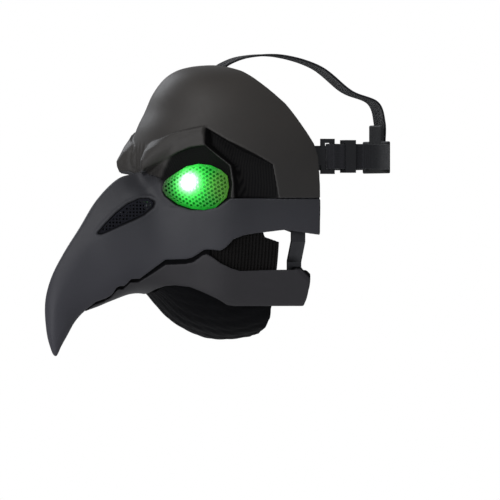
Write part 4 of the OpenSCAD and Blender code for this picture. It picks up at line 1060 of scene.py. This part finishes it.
# ---------- soft pieces from the modelled forms ----------
def cad_form(node):
    """Points in millimetres and triangles of a modelled node."""
    me = NODES[node].data
    me.calc_loop_triangles()
    co = np.zeros(len(me.vertices) * 3)
    me.vertices.foreach_get("co", co)
    tri = np.zeros(len(me.loop_triangles) * 3, np.int32)
    me.loop_triangles.foreach_get("vertices", tri)
    return co.reshape(-1, 3) * 1000, tri.reshape(-1, 3)


def rounded(node, vox, r, unevenness=None):
    """The node's form with its edges rounded by r, and its faces made a little uneven."""
    pts, tri = cad_form(node)
    f = Field(pts.min(0) - 3, pts.max(0) + 3, vox)
    core_pts, quads = f.surface(f.solid((pts, tri), 10) + r)
    core_tri = np.concatenate([quads[:, [0, 1, 2]], quads[:, [0, 2, 3]]])
    a = f.solid((core_pts, core_tri), 12) - r
    return f.mesh(a + unevenness(f) if unevenness else a)


def uneven(depth, length, seed):
    """Smooth lumps about a length apart, from five waves in random directions."""
    draw = np.random.default_rng(seed)
    waves = draw.normal(size=(5, 3))
    waves = waves / np.linalg.norm(waves, axis=1)[:, None] * 2 * np.pi / length
    starts = draw.uniform(0, 6.28, 5)
    return lambda f: depth * sum(np.sin(k[0] * f.x + k[1] * f.y + k[2] * f.z + h)
                                 for k, h in zip(waves, starts)) / 3


def foam_pad(name, node, body, vox, r, lumps):
    pad = make(name, *rounded(node, vox, r, uneven(*lumps)), M_FOAM, body, "foam", [node])


foam_pad("brow_pad", "forehead_pad", "mask", 0.8, 2.0, (0.22, 16, 1))
for side in ("left", "right"):
    foam_pad("side_pad_" + side, "cheek_pad_" + side, "mask", 0.45, 1.7, (0.15, 9, 2))
foam_pad("chin_rest_pad", "chin_pad", "jaw", 0.6, 1.3, (0.15, 10, 3))

# return bands: round-edged rubber loops from a peg on the mask to the jaw arm
for side, s in (("left", 1), ("right", -1)):
    band = make("band_loop_" + side, *rounded("return_band_" + side, 0.25, 0.5), M_BAND, None, "band",
                ["return_band_" + side])
    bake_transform(band)

# ---------- cloth under the jaw: gathered into the shell's edge, with soft folds ----------
# place across from -1 to 1, width and height of each fold
COVER_FOLDS = [(-0.84, 0.05, 0.9), (-0.62, 0.06, 1.2), (-0.4, 0.07, 0.9), (-0.14, 0.08, 0.8),
               (0.08, 0.07, 1.0), (0.33, 0.06, 0.9), (0.55, 0.065, 1.3), (0.76, 0.05, 1.0), (0.92, 0.04, 0.7)]
COVER_ROWS = 90
COVER_COLS = 240


def cover_point(station, t):
    """A point of the cloth at the place t across a section, from -1 to 1."""
    y, half, side_z, middle_z = station
    a = abs(t)
    turn = math.pi / 2 * a
    sign = math.copysign(1, t)
    fold = sum(h * math.exp(-((t - c - 0.3 * (y + 50) / 40) / w) ** 2) for c, w, h in COVER_FOLDS)
    fold *= min(1, (1 - a) * 6 + 0.15) * min(1, (y + 93) / 22)
    x = sign * half * math.sin(math.pi / 2 * min(a * 1.02, 1)) ** 0.9
    z = side_z + (middle_z - side_z) * max(math.cos(turn), 0) ** 0.75
    off = 0.45 + max(fold, 0)
    ruffle = 0.25 * math.sin(t * 60 + y * 0.13) + 0.2 * math.sin(t * 23 - y * 0.21)
    return [x - math.sin(turn) * sign * (off + ruffle * 0.4), y, z + math.cos(turn) * (off + ruffle * 0.6)]


def cover_cloth():
    across = [-1 + 2 * j / COVER_COLS for j in range(COVER_COLS + 1)]
    stations = [along(COVER_ST, i / COVER_ROWS * 6.999) for i in range(COVER_ROWS + 1)]
    pts = np.array([cover_point(station, t) for station in stations for t in across])
    width = COVER_COLS + 1
    i, j = np.meshgrid(np.arange(COVER_ROWS), np.arange(COVER_COLS), indexing="ij")
    a = (i * width + j).ravel()
    faces = np.stack([a, a + 1, a + width + 1, a + width], 1)
    cover = make("chin_cloth", pts, faces, M_CLOTH, "jaw", "cloth", ["chin_cover"])
    thick = cover.modifiers.new("thick", "SOLIDIFY")
    thick.thickness = 0.0008
    thick.offset = 0.0


cover_cloth()

# ---------- straps ----------
STRAP_W = 20
STRAP_T = 1.8
ANCHOR = (73.7, 29.8, 24.0)


def even_route(corners, sub=24, step=0.8):
    """Points at even steps along the smooth route through its corners."""
    corners = np.array(corners, float)
    last = len(corners) - 1.0001
    pts = np.array([along(corners, min(i / sub, last)) for i in range((len(corners) - 1) * sub + 1)])
    run = np.concatenate([[0], np.cumsum(np.linalg.norm(np.diff(pts, axis=0), axis=1))])
    at = np.arange(0, run[-1] + 1e-6, step)
    return np.stack([np.interp(at, run, pts[:, k]) for k in range(3)], 1)


def strap_section():
    """The strap's outline: across and up, with thicker selvedges and shallow lengthwise ribs."""
    top = []
    for c in np.linspace(-1, 1, 41):
        ridge = 0.12 * math.exp(-((abs(c) - 0.93) / 0.035) ** 2) + 0.04 * math.cos(c * 10 * math.pi)
        thin = 1 - max(abs(c) - 0.965, 0) * 14
        top.append((c * STRAP_W / 2, (STRAP_T / 2 - 0.14) * thin + ridge))
    return top + [(a, -b) for a, b in top[::-1]]


def strap(name, corners, up, mat, node):
    """Woven strap swept through the modelled route."""
    pts = even_route(corners)
    d = np.gradient(pts, axis=0)
    d /= np.linalg.norm(d, axis=1)[:, None]
    out = np.cross(d, np.array(up, float))
    out /= np.linalg.norm(out, axis=1)[:, None]
    side = np.cross(out, d)
    section = np.array(strap_section())
    # the width wanders a little, as woven elastic does
    wander = 1 + 0.004 * np.sin(np.arange(len(pts)) * 0.31)
    rings = (pts[:, None] + side[:, None] * section[None, :, :1] * wander[:, None, None]
             + out[:, None] * section[None, :, 1:])
    m, n = rings.shape[:2]
    a, b = tube_index(m, n)
    k = np.arange(n // 2 - 1)
    cap = np.stack([k, k + 1, n - 2 - k, n - 1 - k], 1)
    faces = np.concatenate([np.stack([a, a + n, b + n, b], 1), cap, cap[:, ::-1] + (m - 1) * n])
    make(name, rings.reshape(-1, 3), faces, mat, "mask", "elastic", [node])


ax, ay, az = ANCHOR
SIDE_ROUTE = [[ax - 3.3, ay + 32], [ax - 3.3, ay + 16], [ax - 2.9, ay + 4], [ax - 0.2, ay - 0.4],
              [ax + 2.5, ay + 4], [ax + 2.4, ay + 16], [ax + 2.2, ay + 32], [ax - 5, ay + 50],
              [ax - 21, ay + 64], [ax - 43, ay + 73], [22, ay + 76], [14, ay + 76.5]]
CROWN_ROUTE = [[-43, 84.5], [-35.5, 87.5], [-31, 91.8], [-27, 97.5], [-8, 104], [22, 105], [55, 96], [82, 77],
               [105.3, 68], [111.5, 52], [111.5, 36]]
for side, s in (("left", 1), ("right", -1)):
    strap("side_webbing_" + side, [[s * x, y, az] for x, y in SIDE_ROUTE], (0, 0, 1), M_WEB,
          "side_strap_" + side)
strap("crown_webbing", [[0, y, z] for y, z in CROWN_ROUTE], (1, 0, 0), M_WEB_X, "crown_strap")

# ---------- rear patch: grained sheet with a stitched border ----------
STITCH_R = 0.28
STITCH_PITCH = 2.6
STITCH_POINTS = 7
STITCH_SIDES = 6
PATCH_Y = 109.85
# border of the patch from its middle: across and up
PATCH_BORDER = [[-21.8, -10.8], [-21.8, 10.8], [-9.8, 10.8], [-9.8, 23.8], [9.8, 23.8], [9.8, 10.8],
                [21.8, 10.8], [21.8, -10.8], [-21.8, -10.8]]


def stitch(corner, d, at, length, out):
    """A stitch that starts at a place along an edge: rings round an arc that dips in at both ends."""
    side = np.cross(d, out)
    pts = []
    for k in range(STITCH_POINTS):
        share = k / (STITCH_POINTS - 1)
        run = min(at + STITCH_PITCH * 0.78 * share, length)
        c = corner + d * run + out * (0.26 * math.sin(math.pi * share) - 0.12)
        for h in range(STITCH_SIDES):
            turn = h * 2 * math.pi / STITCH_SIDES
            pts.append(c + STITCH_R * (math.cos(turn) * out + math.sin(turn) * side))
    return np.array(pts)


def patch_thread():
    out = np.array([0, 1.0, 0])
    corners = [np.array([x, PATCH_Y, az + z]) for x, z in PATCH_BORDER]
    stitches = []
    for a, b in zip(corners, corners[1:]):
        length = np.linalg.norm(b - a)
        d = (b - a) / length
        for at in np.arange(0.4, length - STITCH_PITCH * 0.7, STITCH_PITCH):
            stitches.append(stitch(a, d, at, length, out))
    a, b = tube_index(STITCH_POINTS, STITCH_SIDES)
    tube = np.stack([a, b, b + STITCH_SIDES, a + STITCH_SIDES], 1)
    size = STITCH_POINTS * STITCH_SIDES
    faces = np.concatenate([tube + i * size for i in range(len(stitches))])
    make("patch_thread", np.concatenate(stitches), faces, M_THREAD, "mask", "cloth")


make("patch_leather", *rounded("rear_patch", 0.5, 0.7), M_PATCH, "mask", "patch", ["rear_patch"])
patch_thread()

# ---------- floor ----------
bpy.ops.mesh.primitive_circle_add(vertices=96, radius=2.6, fill_type="NGON", location=(0, 0, -0.45))
floor = bpy.context.object
floor.name = "floor"
floor.data.materials.append(floor_material())
